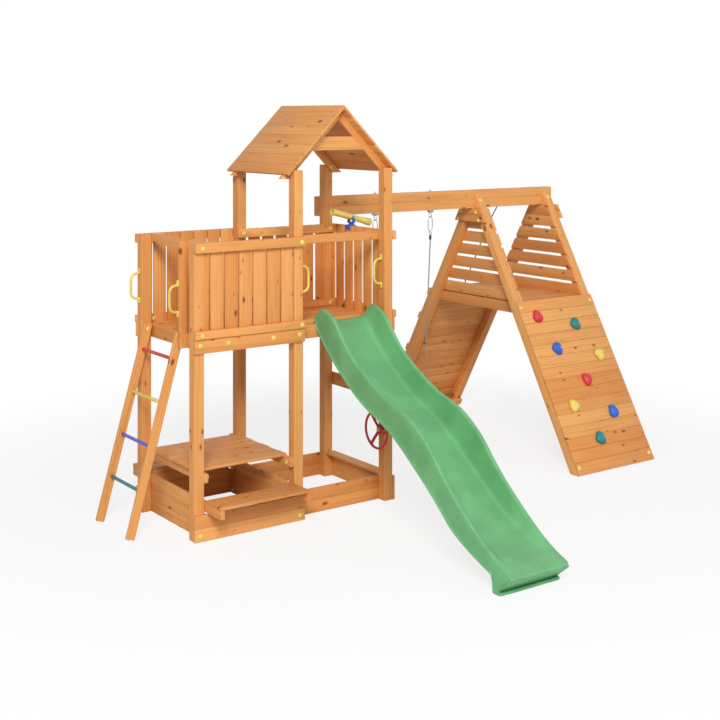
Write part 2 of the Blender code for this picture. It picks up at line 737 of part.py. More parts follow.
def table():
    """Picnic table between the left posts, with a bench before and behind it."""
    sides = (beyond(HALF, RAIL, 1), beyond(BAY - HALF, RAIL, -1))
    cleat_top = TABLE_TOP_Z - BOARD + HOUSED
    cleats = bmesh.new()
    boards = bmesh.new()
    for x in sides:
        block(cleats, x, (-HALF, BACK_OUT), (cleat_top - TABLE_CLEAT_H, cleat_top))
    for index, y in enumerate(row(TABLE_FRONT, TABLE_FRONT + TABLE_DEPTH, TABLE_BOARDS, TABLE_GAP)):
        right = BAY - TABLE_SHORT - TABLE_STAGGER * (index % 2)
        block(boards, (TABLE_LEFT, right), y, (TABLE_TOP_Z - BOARD, TABLE_TOP_Z))
    fused("picnic_table", cleats, boards)

    bracket_top = BENCH_TOP_Z - BOARD + HOUSED
    edge = HALF + BENCH_REACH
    for name, mirror in (("bench_front", False), ("bench_back", True)):
        def place(low, high):
            return (BAY - high, BAY - low) if mirror else (low, high)
        brackets = bmesh.new()
        seats = bmesh.new()
        for x in sides:
            block(brackets, x, place(-edge + BRACKET_SETBACK, HALF),
                  (bracket_top - BRACKET_H, bracket_top))
        for y in row(-edge, -edge + BENCH_DEPTH, 2, TABLE_GAP):
            block(seats, (sides[0][0], BAY - BENCH_SHORT), place(*y), (BENCH_TOP_Z - BOARD, BENCH_TOP_Z))
        fused(name, brackets, seats)


def roof():
    """Gable roof: a boarded side each way on two trusses."""
    lift = ROOF_BOARD_T / math.sqrt(2)
    notch = GROOVE / math.sqrt(2)
    for name, side in (("roof_left", -1), ("roof_right", 1)):
        under = [(CLEAR, RIDGE_Z - CLEAR)]
        over = [(CLEAR, RIDGE_Z - CLEAR + 2 * lift)]
        for index in range(1, ROOF_BOARDS):
            seam = ROOF_RUN * index / ROOF_BOARDS
            under += [(seam - notch, RIDGE_Z - seam + notch), (seam + notch, RIDGE_Z - seam + notch),
                      (seam + notch, RIDGE_Z - seam - notch)]
            x = seam + lift
            z = RIDGE_Z - seam + lift
            over += [(x - notch, z + notch), (x - notch, z - notch), (x + notch, z - notch)]
        under.append((ROOF_RUN, RIDGE_Z - ROOF_RUN))
        over.append((ROOF_RUN + lift, RIDGE_Z - ROOF_RUN + lift))
        bm = bmesh.new()
        prism(bm, [(RIDGE_X + side * x, z) for x, z in under + over[::-1]], "Y", -HALF, BACK_OUT)
        add(name, bm, TIMBER)

    depth = RAFTER_H * math.sqrt(2)
    top = RIDGE_Z - 2 * CLEAR
    inner_foot = top - depth - RAFTER_FOOT_Z
    outer_foot = top - RAFTER_FOOT_Z
    rafters = [(0, top), (-outer_foot, RAFTER_FOOT_Z), (-inner_foot, RAFTER_FOOT_Z), (0, top - depth),
               (inner_foot, RAFTER_FOOT_Z), (outer_foot, RAFTER_FOOT_Z)]
    tie_z = TALL_POST + TIE_RISE
    low = top - depth - tie_z + 2 * HOUSED
    high = low - TIE_H
    tie = [(-low, tie_z), (low, tie_z), (high, tie_z + TIE_H), (-high, tie_z + TIE_H)]
    for name, y in (("truss_front", beyond(HALF, RAIL, 1)), ("truss_back", beyond(BACK_IN, RAIL, -1))):
        pair = bmesh.new()
        prism(pair, [(RIDGE_X + x, z) for x, z in rafters], "Y", *y)
        collar = bmesh.new()
        prism(collar, [(RIDGE_X + x, z) for x, z in tie], "Y", y[0] + GROOVE, y[1] - GROOVE)
        fused(name, pair, collar)


def grip(bm, face_x, y, middle_z, side):
    """The bent tube of a grab handle that stands out from a post face towards side."""
    far = HANDLE_REACH - GRIP_D / 2
    quarter = [math.pi / 2 * step / 4 for step in range(5)]
    bend = [(Vector((far - GRIP_BEND + GRIP_BEND * math.sin(angle), 0,
                     -GRIP_ARM_Z + GRIP_BEND - GRIP_BEND * math.cos(angle))), angle)
            for angle in quarter]
    lower = [(Vector((PAD_T / 2, 0, -GRIP_ARM_Z)), 0.0)] + bend
    upper = [(Vector((point.x, 0, -point.z)), math.pi - angle) for point, angle in lower[::-1]]
    loops = []
    for point, turn in lower + upper:
        normal = Vector((math.sin(turn), 0, -math.cos(turn)))
        loop = []
        for corner in range(10):
            angle = 2 * math.pi * corner / 10
            spot = point + (normal * math.cos(angle) + Vector((0, math.sin(angle), 0))) * GRIP_D / 2
            loop.append((face_x + side * spot.x, y + spot.y, middle_z + spot.z))
        loops.append(loop)
    skin(bm, loops)


def handles():
    """Two grab handles at the ladder doorway and two at the slide doorway."""
    jamb_z, post_z = LADDER_HANDLES
    wide = PAD_W / 2
    narrow = wide - PAD_CORNER
    low = GRIP_ARM_Z - GRIP_D / 2
    high = HANDLE_H / 2
    for name, face_x, y, z, side in (("handle_ladder_jamb", HALF - JAMB_W, JAMB_Y + RAIL / 2, jamb_z, -1),
                                     ("handle_ladder_post", -HALF, BAY, post_z, -1),
                                     ("handle_slide_left", BAY + HALF, 0.0, SLIDE_HANDLES[0], 1),
                                     ("handle_slide_right", RIGHT - HALF, 0.0, SLIDE_HANDLES[1], -1)):
        bm = bmesh.new()
        grip(bm, face_x, y, z, side)
        piece = add(name, bm, YELLOW, smooth=True)
        pads = bmesh.new()
        for end in (-1, 1):
            outline = [(y + a, z + end * b) for a, b in (
                (-narrow, low), (narrow, low), (wide, low + PAD_CORNER), (wide, high - PAD_CORNER),
                (narrow, high), (-narrow, high), (-wide, high - PAD_CORNER), (-wide, low + PAD_CORNER))]
            prism(pads, outline, "X", *beyond(face_x, PAD_T, side))
        tool(name + "_pads", pads, piece, "UNION")


def slide_section(y, rim, floor, skirt, solid, narrow=0.0):
    """Closed section of the slide across X at one y."""
    half = SLIDE_W / 2 - narrow
    inner = half - RIM_W
    edge = inner - TROUGH_SLOPE
    deep = max(rim - floor, 0.0)
    roll = min(SLIDE_ROLL, deep * 0.5 + 0.002)
    flange_top = min(skirt + FLANGE_H, rim - roll - 0.001)
    upper = [(half + SLIDE_FLANGE, skirt), (half + SLIDE_FLANGE, flange_top - 0.003), (half, flange_top),
             (half, rim - roll), (half - 0.25 * RIM_W, rim - 0.25 * roll), (half - 0.5 * RIM_W, rim),
             (inner, rim - 0.3 * roll), (inner - 0.25 * TROUGH_SLOPE, rim - 0.35 * deep),
             (edge + 0.3 * TROUGH_SLOPE, floor + 0.25 * deep), (edge, floor + 0.07 * deep),
             (edge - SLIDE_FILLET, floor), (0.0, floor)]
    if solid:
        under = [(x, skirt) for x in (0.0, edge - SLIDE_FILLET, edge, inner, half - 0.5 * RIM_W,
                                      half - 2 * SLIDE_WALL, half - SLIDE_WALL)]
    else:
        low = floor - SLIDE_WALL
        rolled = deep > 0.02
        under = [(0.0, low), (edge - SLIDE_FILLET, low), (edge + SLIDE_WALL, low + 0.07 * deep),
                 (inner, max(rim - 0.35 * deep - SLIDE_WALL, low)),
                 (half - 0.5 * RIM_W, rim - SLIDE_WALL if rolled else low),
                 (half - SLIDE_WALL, rim - SLIDE_WALL - roll if rolled else low),
                 (half - SLIDE_WALL, skirt)]
    loop = upper + [(-x, z) for x, z in reversed(upper[:-1])]
    loop += [(-x, z) for x, z in reversed(under[1:])] + under
    return [(SLIDE_X + x, y, z) for x, z in loop]


def slide():
    """Wavy slide: one shell with side walls, rolled rims, ears at the top and a hooked lip."""
    rest = FRAME_TOP + CLEAR
    start = SILL_Y - CLEAR
    loops = [slide_section(y, height_on(RIM_LINE, y), rest + SLIDE_WALL, rest, False)
             for y in (start, (start + HALF) / 2, HALF)]
    start = HALF - STEP_Y
    rows = [start + (EAR_END_Y - start) * index / EAR_ROWS for index in range(EAR_ROWS)]
    rows += [EAR_END_Y + (FOOT_Y - EAR_END_Y) * index / SLIDE_ROWS for index in range(SLIDE_ROWS + 1)]
    for y in rows:
        loops.append(slide_section(y, height_on(RIM_LINE, y), height_on(FLOOR_LINE, y),
                                   height_on(SKIRT_LINE, y), False))
    for y in (FOOT_Y - SLIDE_WALL, UNDERCUT_Y):
        loops.append(slide_section(y, height_on(RIM_LINE, y), height_on(FLOOR_LINE, y), 0.0, True))
    begin = UNDERCUT_Y - STEP_Y
    for share, nose in ((0.0, 0.0), (0.3, 0.0), (0.6, 0.0), (0.85, 0.001), (0.95, 0.004), (1.0, 0.009)):
        y = begin + (LIP_Y - begin) * share
        rim = height_on(RIM_LINE, y)
        skirt = TOE_H + (LIP_UNDER_Z - TOE_H) * share + nose
        loops.append(slide_section(y, rim - nose, min(height_on(FLOOR_LINE, y), rim) - nose, skirt,
                                   True, narrow=2 * nose))
    bm = bmesh.new()
    skin(bm, loops)
    toe = [face for face in bm.faces
           if all(vert.co.z <= TOE_H + CLEAR and begin - CLEAR < vert.co.y < UNDERCUT_Y + CLEAR
                  for vert in face.verts)]
    grown = bmesh.ops.extrude_face_region(bm, geom=toe)
    front = [item for item in grown["geom"] if isinstance(item, bmesh.types.BMVert)]
    bmesh.ops.translate(bm, verts=front, vec=(0, -TOE_LENGTH, 0))
    bmesh.ops.delete(bm, geom=[face for face in toe if face.is_valid], context="FACES")
    add("slide", bm, GREEN, smooth=True)


def wheel():
    """Steering wheel on a spindle bolted to the front right post."""
    face = RIGHT - HALF
    flange_end = face - CLEAR - SPINDLE_FLANGE_T
    hub_near = flange_end - CLEAR
    hub_far = hub_near - HUB_T
    rim_x = hub_far - WHEEL_DISH + HUB_T / 2
    spindle = bmesh.new()
    profile = [(0, 0), (SPINDLE_FLANGE_R, 0), (SPINDLE_FLANGE_R, SPINDLE_FLANGE_T),
               (SPINDLE_R, SPINDLE_FLANGE_T), (SPINDLE_R, SPINDLE_FLANGE_T + HUB_T - 0.002),
               (0, SPINDLE_FLANGE_T + HUB_T - 0.002)]
    to_left = Matrix.Rotation(-math.pi / 2, 4, "Y")
    turned(spindle, profile, Matrix.Translation((face - CLEAR, 0, WHEEL_Z)) @ to_left, steps=16)
    add("wheel_spindle", spindle, BLUE, smooth=True)

    rim = bmesh.new()
    turns = [2 * math.pi * step / 24 for step in range(24)]
    ring = [Vector((rim_x, WHEEL_R * math.cos(turn), WHEEL_Z + WHEEL_R * math.sin(turn)))
            for turn in turns]
    link_ring(rim, ring, WHEEL_RIM_D / 2, sides=8)
    wheel_piece = add("steering_wheel", rim, RED, smooth=True)
    hub = bmesh.new()
    cylinder(hub, ((hub_near + hub_far) / 2, 0, WHEEL_Z), WHEEL_HUB_R, HUB_T, "X", sides=20)
    tool("wheel_hub_body", hub, wheel_piece, "UNION")
    for number, degrees in enumerate((60, 180, 300)):
        angle = math.radians(degrees)
        out = Vector((0, math.cos(angle), math.sin(angle)))
        side = Vector((0, -math.sin(angle), math.cos(angle)))
        middle = Vector((0, 0, WHEEL_Z))
        loops = []
        for reach, x, width in ((WHEEL_HUB_R * 0.72, (hub_near + hub_far) / 2 - 0.001, SPOKE_W),
                                (WHEEL_R * 0.5, (hub_far + rim_x) / 2 + 0.002, SPOKE_W * 0.86),
                                (WHEEL_R, rim_x, SPOKE_W)):
            centre = middle + out * reach
            loops.append([(x + sx * SPOKE_T / 2, *(centre + side * sy * width / 2)[1:])
                          for sx, sy in ((-1, -1), (1, -1), (1, 1), (-1, 1))])
        spoke = bmesh.new()
        skin(spoke, loops)
        tool("wheel_spoke_%d" % number, spoke, wheel_piece, "UNION")
    bore = bmesh.new()
    cylinder(bore, (hub_far, 0, WHEEL_Z), SPINDLE_R + CLEAR, 4 * HUB_T, "X", sides=16)
    tool("wheel_bore", bore, wheel_piece, "DIFFERENCE")

    cap = bmesh.new()
    cap_profile = [(0, 0), (HUB_CAP_R, 0), (HUB_CAP_R, 0.4 * HUB_CAP_T),
                   (0.65 * HUB_CAP_R, 0.85 * HUB_CAP_T), (0, HUB_CAP_T)]
    turned(cap, cap_profile, Matrix.Translation((hub_far - CLEAR, 0, WHEEL_Z)) @ to_left, steps=16)
    cap_piece = add("wheel_cap", cap, YELLOW, smooth=True)
    hang([wheel_piece, cap_piece], "wheel_axis", (rim_x, 0, WHEEL_Z))
    for name in ("wheel_hub_body", "wheel_spoke_0", "wheel_spoke_1", "wheel_spoke_2", "wheel_bore"):
        bpy.data.objects[name].parent = bpy.data.objects["wheel_axis"]
        bpy.data.objects[name].data.transform(Matrix.Translation((-rim_x, 0, -WHEEL_Z)))


def telescope():
    """Telescope: a clamp on the right top rail, a fork that pans and a tube that tilts."""
    inner = RIGHT + HALF - SLAT_T - CLEAR
    outer = RIGHT + HALF + CLEAR + RAIL + CLEAR
    mid = RIGHT + HALF + CLEAR + RAIL / 2
    top = GUARD_TOP + CLEAR + CLAMP_T
    low = GUARD_TOP - CLAMP_DROP
    clamp = bmesh.new()
    profile = [(inner - CLAMP_T, low), (inner, low), (inner, GUARD_TOP + CLEAR), (outer, GUARD_TOP + CLEAR),
               (outer, low), (outer + CLAMP_T, low), (outer + CLAMP_T, top), (inner - CLAMP_T, top)]
    prism(clamp, profile, "Y", SCOPE_Y - CLAMP_W / 2, SCOPE_Y + CLAMP_W / 2)
    piece = add("telescope_clamp", clamp, BLUE)
    boss_top = top + BOSS_H
    depth = BOSS_H - BOSS_FLOOR
    boss = bmesh.new()
    cylinder(boss, (mid, SCOPE_Y, boss_top - BOSS_H / 2 - EASED / 2), BOSS_R, BOSS_H + EASED, "Z", sides=20)
    tool("clamp_boss", boss, piece, "UNION")
    bore = bmesh.new()
    cylinder(bore, (mid, SCOPE_Y, boss_top), STEM_R + CLEAR, 2 * depth, "Z", sides=16)
    tool("clamp_bore", bore, piece, "DIFFERENCE")

    pivot_z = GUARD_TOP + SCOPE_PIVOT_RISE
    base_z = boss_top + CLEAR
    reach = YOKE_GAP / 2 + YOKE_T
    fork = bmesh.new()
    block(fork, (mid - YOKE_W / 2 - GROOVE, mid + YOKE_W / 2 + GROOVE),
          (SCOPE_Y - reach - GROOVE, SCOPE_Y + reach + GROOVE), (base_z, base_z + YOKE_T))
    fork_piece = add("telescope_fork", fork, BLUE)
    arms = bmesh.new()
    round_top = [math.pi * step / 8 for step in range(9)]
    arm = [(mid - YOKE_W / 2, base_z + EASED), (mid + YOKE_W / 2, base_z + EASED)]
    arm += [(mid + YOKE_W / 2 * math.cos(turn), pivot_z + YOKE_W / 2 * math.sin(turn)) for turn in round_top]
    for side in (-1, 1):
        faces = sorted((SCOPE_Y + side * YOKE_GAP / 2, SCOPE_Y + side * reach))
        prism(arms, arm, "Y", *faces)
    arms_piece = tool("fork_arms", arms, fork_piece, "UNION")
    stem = bmesh.new()
    stem_low = boss_top - depth + CLEAR
    stem_high = base_z + EASED
    cylinder(stem, (mid, SCOPE_Y, (stem_low + stem_high) / 2), STEM_R, stem_high - stem_low, "Z", sides=16)
    stem_piece = tool("fork_stem", stem, fork_piece, "UNION")
    holes = bmesh.new()
    cylinder(holes, (mid, SCOPE_Y, pivot_z), TRUNNION_R + CLEAR, 3 * reach, "Y", sides=16)
    holes_piece = tool("fork_holes", holes, fork_piece, "DIFFERENCE")
    hang([fork_piece, arms_piece, stem_piece, holes_piece], "telescope_pan_axis", (mid, SCOPE_Y, pivot_z))

    half = SCOPE_LENGTH / 2
    tube = bmesh.new()
    tube_profile = [(SCOPE_BORE_R, -half), (SCOPE_R + EYE_RING, -half),
                    (SCOPE_R + EYE_RING, -half + EYE_RING_L), (SCOPE_R, -half + EYE_RING_L + EYE_RING),
                    (SCOPE_R, half - FRONT_RING_L - FRONT_RING), (SCOPE_R + FRONT_RING, half - FRONT_RING_L),
                    (SCOPE_R + FRONT_RING, half), (SCOPE_BORE_R, half)]
    along_x = Matrix.Rotation(math.pi / 2, 4, "Y")
    here = Matrix.Translation((mid, SCOPE_Y, pivot_z))
    turned(tube, tube_profile, here @ along_x, steps=20)
    tube_piece = add("telescope_tube", tube, YELLOW, smooth=True)
    pins = []
    for side in (-1, 1):
        pin = bmesh.new()
        low = (SCOPE_BORE_R + SCOPE_R) / 2
        high = reach - CLEAR
        cylinder(pin, (mid, SCOPE_Y + side * (low + high) / 2, pivot_z), TRUNNION_R, high - low,
                 "Y", sides=16)
        pins.append(tool("tube_trunnion_%d" % (side + 1), pin, tube_piece, "UNION"))
    pivot = hang([tube_piece] + pins, "telescope_tilt_axis", (mid, SCOPE_Y, pivot_z))
    pivot.rotation_euler = (0, math.radians(SCOPE_TILT), 0)


def swing_beam():
    """Two beams, one on the other, from the tower to the A-frame."""
    half = BEAM_H / 2
    near, far = BACK_OUT + CLEAR, SEAT_PLANE
    seam = BEAM_BOTTOM + half
    outline = [(near, BEAM_BOTTOM), (near, seam - EASED), (near + EASED, seam), (near, seam + EASED),
               (near, seam + half), (far, seam + half), (far, seam + EASED), (far - EASED, seam),
               (far, seam - EASED), (far, BEAM_BOTTOM)]
    bm = bmesh.new()
    prism(bm, outline, "X", BEAM_LEFT, BEAM_RIGHT)
    add("swing_beam", bm, TIMBER)


def swing():
    """Swing: eyes under the beam, hangers with carabiners, two ropes and a flat seat."""
    y = (BACK_OUT + SEAT_PLANE) / 2
    hinge_z = BEAM_BOTTOM - EYE_DROP
    seat_top = SWING_SEAT_Z + SWING_SEAT_T / 2
    eye_middle = hinge_z - WIRE_R - CLEAR - WIRE_R + EYE_H / 2
    pieces = []
    seat = bmesh.new()
    half_w = SWING_SEAT_W / 2
    half_l = SWING_SEAT_L / 2 + SEAT_END
    short_l, short_w = half_l - SEAT_CORNER, half_w - SEAT_CORNER
    outline = [(-short_l, -half_w), (short_l, -half_w), (half_l, -short_w), (half_l, short_w),
               (short_l, half_w), (-short_l, half_w), (-half_l, short_w), (-half_l, -short_w)]
    prism(seat, [(SWING_X + a, y + b) for a, b in outline], "Z", seat_top - SWING_SEAT_T, seat_top)
    seat_piece = add("swing_seat", seat, RED)
    lugs = bmesh.new()
    for side, word in ((-1, "left"), (1, "right")):
        x = SWING_X + side * HANGER_SPREAD
        ring = bmesh.new()
        link_ring(ring, stadium((x, y, eye_middle), EYE_W, EYE_H, "YZ"), WIRE_R)
        eye = add("swing_eye_" + word, ring, STEEL, smooth=True)
        plate = bmesh.new()
        plate_low = eye_middle + EYE_H / 2 - WIRE_R / 2
        block(plate, (x - EYE_PLATE / 2, x + EYE_PLATE / 2), (y - EYE_PLATE / 2, y + EYE_PLATE / 2),
              (plate_low, BEAM_BOTTOM - CLEAR))
        tool("eye_plate_" + word, plate, eye, "UNION")

        loop = bmesh.new()
        loop_middle = hinge_z - CARABINER_L / 2
        link_ring(loop, stadium((x, y, loop_middle), CARABINER_W, CARABINER_L, "XZ"), WIRE_R)
        hanger = add("swing_hanger_" + word, loop, STEEL, smooth=True)
        thimble_top = hinge_z - CARABINER_L + WIRE_R
        thimble = bmesh.new()
        link_ring(thimble, stadium((x, y, thimble_top - THIMBLE_L / 2), THIMBLE_W, THIMBLE_L, "YZ"),
                  WIRE_R)
        thimble_piece = tool("thimble_" + word, thimble, hanger, "UNION")
        ferrule = bmesh.new()
        ferrule_top = thimble_top - THIMBLE_L + WIRE_R / 2
        cylinder(ferrule, (x, y, ferrule_top - FERRULE_L / 2), FERRULE_R, FERRULE_L, "Z", sides=12)
        ferrule_piece = tool("ferrule_" + word, ferrule, hanger, "UNION")
        rope_top = ferrule_top - FERRULE_L - CLEAR
        foot = SWING_X + side * SEAT_SPREAD
        bottom = seat_top + LUG_H + CLEAR
        cylinder(lugs, (foot, y, seat_top + LUG_H / 2 - HOUSED), LUG_R, LUG_H + 2 * HOUSED, "Z", sides=12)
        lean = (foot - x) / (rope_top - bottom)
        line = rope("swing_rope_" + word, [
            (x, y, rope_top), (x, y, rope_top - 0.014), (x + lean * 0.3, y, rope_top - 0.3),
            (x + lean * 0.8, y, rope_top - 0.8), (foot - lean * 0.3, y, bottom + 0.3),
            (foot, y, bottom + 0.014), (foot, y, bottom)], ROPE, 24)
        pieces += [hanger, thimble_piece, ferrule_piece, line]
    lugs_piece = tool("seat_lugs", lugs, seat_piece, "UNION")
    hang(pieces + [seat_piece, lugs_piece], "swing_axis", (SWING_X, y, hinge_z))


def sloped(slope, side):
    """Directions along and out of a pair of legs, in (y, z)."""
    length = math.sqrt(1 + slope ** 2)
    return Vector((-side * slope, 1)) / length, Vector((side, slope)) / length


def cross(low, high, inset=0.0):
    """Outline of a board that crosses both legs, cut along their outer edges."""
    return [(front_edge(low) + inset, low), (back_edge(low) - inset, low),
            (back_edge(high) - inset, high), (front_edge(high) + inset, high)]


def aframe_sides():
    """Left and right sides: two legs each, gussets under the beam and the cabin's slats."""
    front_w = POST * math.sqrt(1 + LEG_FRONT_SLOPE ** 2)
    back_w = POST * math.sqrt(1 + LEG_BACK_SLOPE ** 2)
    front = [(front_edge(0), 0), (front_edge(0) + front_w, 0),
             (BACK_OUT, (BACK_OUT - front_edge(0) - front_w) / LEG_FRONT_SLOPE), (BACK_OUT, LEG_TOP)]
    seat = SEAT_PLANE + CLEAR
    back = [(back_edge(0), 0), (back_edge(0) - back_w, 0),
            (seat, (back_edge(0) - back_w - seat) / LEG_BACK_SLOPE),
            (seat, (back_edge(0) - seat) / LEG_BACK_SLOPE)]
    top = BEAM_BOTTOM - TOP_SLAT_DROP
    bottoms = [top - 2 * SIDE_SLAT_H - BOARD_SEAM, top - SIDE_SLAT_H]
    low = SIDE_SLAT_BOTTOM
    while low + SIDE_SLAT_H + BOARD_SEAM < bottoms[0]:
        bottoms.append(low)
        low += SIDE_SLAT_PITCH
    for name, outer, side in (("aframe_left", AFRAME_LEFT, 1), ("aframe_right", AFRAME_RIGHT, -1)):
        inner = outer + side * POST
        legs = bmesh.new()
        for outline in (front, back):
            prism(legs, outline, "X", min(outer, inner), max(outer, inner))
        boards = bmesh.new()
        near = inner - side * HOUSED
        far = inner + side * BOARD
        for low in bottoms:
            prism(boards, cross(low, low + SIDE_SLAT_H, SLAT_INSET), "X", min(near, far), max(near, far))
        near = outer + side * HOUSED
        far = outer - side * RAIL
        for level in (0, 1):
            high = BEAM_BOTTOM - CLEAR - level * (GUSSET_H + BOARD_SEAM)
            prism(boards, cross(high - GUSSET_H, high, SLAT_INSET), "X", min(near, far), max(near, far))
        fused(name, legs, boards)


def cabin_floor():
    """Floor boards of the cabin on two beams between the legs."""
    inner = (AFRAME_LEFT + POST, AFRAME_RIGHT - POST)
    floor_low = CABIN_FLOOR_Z - BOARD
    beams = bmesh.new()
    for x in (beyond(inner[0], RAIL, 1), beyond(inner[1], RAIL, -1)):
        high = floor_low + HOUSED
        prism(beams, cross(high - CABIN_BEAM_H, high, SLAT_INSET), "X", *x)
    boards = bmesh.new()
    floor_x = (inner[0] + BOARD + CLEAR, inner[1] - BOARD - CLEAR)
    for y in row(front_edge(CABIN_FLOOR_Z) + FLOOR_INSET, back_edge(CABIN_FLOOR_Z) - FLOOR_INSET,
                 CABIN_FLOOR_BOARDS, DECK_GAP):
        block(boards, floor_x, y, (floor_low, CABIN_FLOOR_Z))
    fused("cabin_floor", beams, boards)


def slope_boards(slope, battens):
    """Outline, along and out of the legs, of edge-to-edge boards with battens on them."""
    length = WALL_TOP * math.sqrt(1 + slope ** 2)
    outline = [(0.0, CLEAR)]
    for index in range(1, WALL_BOARDS):
        seam = length * index / WALL_BOARDS
        outline += [(seam - GROOVE, CLEAR), (seam, CLEAR + GROOVE), (seam + GROOVE, CLEAR)]
    outline.append((length, CLEAR))
    face = [(0.0, CLEAR + BOARD)]
    for index in range(1, WALL_BOARDS):
        seam = length * index / WALL_BOARDS
        if all(abs(seam - s) > BATTEN_H / 2 + GROOVE for s in battens):
            face += [(seam - GROOVE, CLEAR + BOARD), (seam, CLEAR + BOARD - GROOVE),
                     (seam + GROOVE, CLEAR + BOARD)]
    for s in battens:
        low, high = s - BATTEN_H / 2, s + BATTEN_H / 2
        face += [(low, CLEAR + BOARD), (low, CLEAR + 2 * BOARD), (high, CLEAR + 2 * BOARD),
                 (high, CLEAR + BOARD)]
    bumps = sorted(range(len(face)), key=lambda index: (face[index][0], index))
    face = [face[index] for index in bumps]
    face.append((length, CLEAR + BOARD))
    return outline + face[::-1]


def climbing_wall():
    """Boards on the front legs with eight moulded holds."""
    along, outward = sloped(LEG_FRONT_SLOPE, -1)
    start = Vector((front_edge(0), 0))
    bm = bmesh.new()
    outline = [start + along * s + outward * out for s, out in slope_boards(LEG_FRONT_SLOPE, [])]
    prism(bm, outline, "X", AFRAME_LEFT, AFRAME_RIGHT)
    fused("climbing_wall", bm, holds())


def ramp():
    """Boarded ramp with foot battens on the back legs, and the rail across their feet."""
    along, outward = sloped(LEG_BACK_SLOPE, 1)
    start = Vector((back_edge(0), 0))
    battens = [z / along.y for z in BATTEN_HEIGHTS]
    bm = bmesh.new()
    outline = [start + along * s + outward * out for s, out in slope_boards(LEG_BACK_SLOPE, battens)]
    prism(bm, outline, "X", AFRAME_LEFT, AFRAME_RIGHT)
    add("ramp", bm, TIMBER)

    inside = POST + CLEAR
    low = (RAIL + inside) * outward.y / along.y
    outline = [start + along * a - outward * b for a, b in (
        (low, inside), (low + RAIL_H, inside), (low + RAIL_H, inside + RAIL), (low, inside + RAIL))]
    bm = bmesh.new()
    prism(bm, outline, "X", AFRAME_LEFT, AFRAME_RIGHT)
    add("foot_rail", bm, TIMBER, bevel=EASED)


def holds():
    """Lumpy hand and foot holds, housed in the face of the climbing wall."""
    lean = math.atan(LEG_FRONT_SLOPE)
    surface = CLEAR + BOARD - HOUSED
    foot = Matrix.Translation((AFRAME_LEFT, front_edge(0), 0))
    frame = foot @ Matrix.Rotation(math.pi / 2 - lean, 4, "X")
    bm = bmesh.new()
    for number, (x, s) in enumerate(HOLDS):
        loops = []
        for height, reach in ((0.0, 1.0), (0.35, 0.97), (0.75, 0.74), (1.0, 0.36)):
            loop = []
            for corner in range(10):
                angle = 2 * math.pi * corner / 10
                wave = 1.0 + 0.10 * math.cos(3 * angle + number) + 0.06 * math.cos(2 * angle)
                radius = HOLD_R * reach * (wave if height < 1 else 1.0)
                spot = Vector((x + radius * math.cos(angle), s + radius * math.sin(angle)
                               - 0.010 * height, surface + HOLD_T * height))
                loop.append(frame @ spot)
            loops.append(loop)
        skin(bm, loops)
    return bm


def climbing_rope():
    """Rope from a hole in the beam down over the ramp, with a knot on its end."""
    along, outward = sloped(LEG_BACK_SLOPE, 1)
    start = Vector((back_edge(0), 0))
    over = CLEAR + 2 * BOARD + ROPE_D / 2 + 3 * CLEAR

    def on_ramp(z):
        point = start + outward * over
        point = point + along * ((z - point.y) / along.y)
        return Vector((CLIMBING_ROPE_X, point.x, point.y))

    hole = Vector((CLIMBING_ROPE_X, SEAT_PLANE + CLEAR, ROPE_HOLE_Z))
    end = on_ramp(ROPE_END_Z)
    arrive = Vector((0, along.x, along.y))
    route = [hole] + [hole + Vector((0, *step)) for step in ROPE_ARCH]
    route += [on_ramp(z) for z in ROPE_HEIGHTS] + [end + arrive * KNOT_R, end]
    rope("climbing_rope", route, GREY_ROPE, 32)
    bm = bmesh.new()
    bmesh.ops.create_icosphere(bm, subdivisions=2, radius=KNOT_R,
                               matrix=Matrix.Translation(end - arrive * (KNOT_R + CLEAR)))
    add("rope_knot", bm, GREY_ROPE, smooth=True)


def build():
    """Build the whole set."""
    clear_scene()
    posts()
    guard_panels()
    doorways()
    deck()
    base()
    ladder()
    table()
    roof()
    handles()
    slide()
    wheel()
    telescope()
    swing_beam()
    swing()
    aframe_sides()
    cabin_floor()
    climbing_wall()
    ramp()
    climbing_rope()


build()
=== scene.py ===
"""Looks of a wooden playground set: timber with grain and knots, moulded plastic,
ropes and steel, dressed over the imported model.

X runs to the right along the front, Y to the back and Z up, in metres.
"""

import json
import logging
import math
import random
from dataclasses import dataclass, field
from enum import Enum
from typing import Optional, Sequence, Union

import bmesh
import bpy
from mathutils import Matrix, Vector

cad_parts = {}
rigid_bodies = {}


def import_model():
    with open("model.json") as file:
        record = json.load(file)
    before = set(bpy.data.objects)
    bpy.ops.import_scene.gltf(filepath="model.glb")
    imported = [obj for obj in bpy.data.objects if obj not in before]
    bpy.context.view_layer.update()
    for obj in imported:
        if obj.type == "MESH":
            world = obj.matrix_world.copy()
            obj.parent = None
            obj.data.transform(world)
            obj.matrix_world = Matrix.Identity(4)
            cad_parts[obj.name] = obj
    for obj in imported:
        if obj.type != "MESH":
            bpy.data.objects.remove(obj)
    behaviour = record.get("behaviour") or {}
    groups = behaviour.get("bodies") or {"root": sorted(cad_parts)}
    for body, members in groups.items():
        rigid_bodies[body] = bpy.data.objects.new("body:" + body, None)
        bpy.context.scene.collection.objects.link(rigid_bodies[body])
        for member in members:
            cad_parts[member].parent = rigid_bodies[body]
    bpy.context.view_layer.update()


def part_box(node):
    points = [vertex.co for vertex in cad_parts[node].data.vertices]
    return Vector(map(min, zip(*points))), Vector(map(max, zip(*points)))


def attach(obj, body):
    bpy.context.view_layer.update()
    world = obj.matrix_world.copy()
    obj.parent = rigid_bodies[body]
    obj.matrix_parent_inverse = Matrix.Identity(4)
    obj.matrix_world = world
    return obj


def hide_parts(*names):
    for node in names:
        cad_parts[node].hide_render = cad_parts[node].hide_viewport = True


LOG = logging.getLogger("playground")
Span = tuple[float, float]
Colour = tuple[float, float, float]

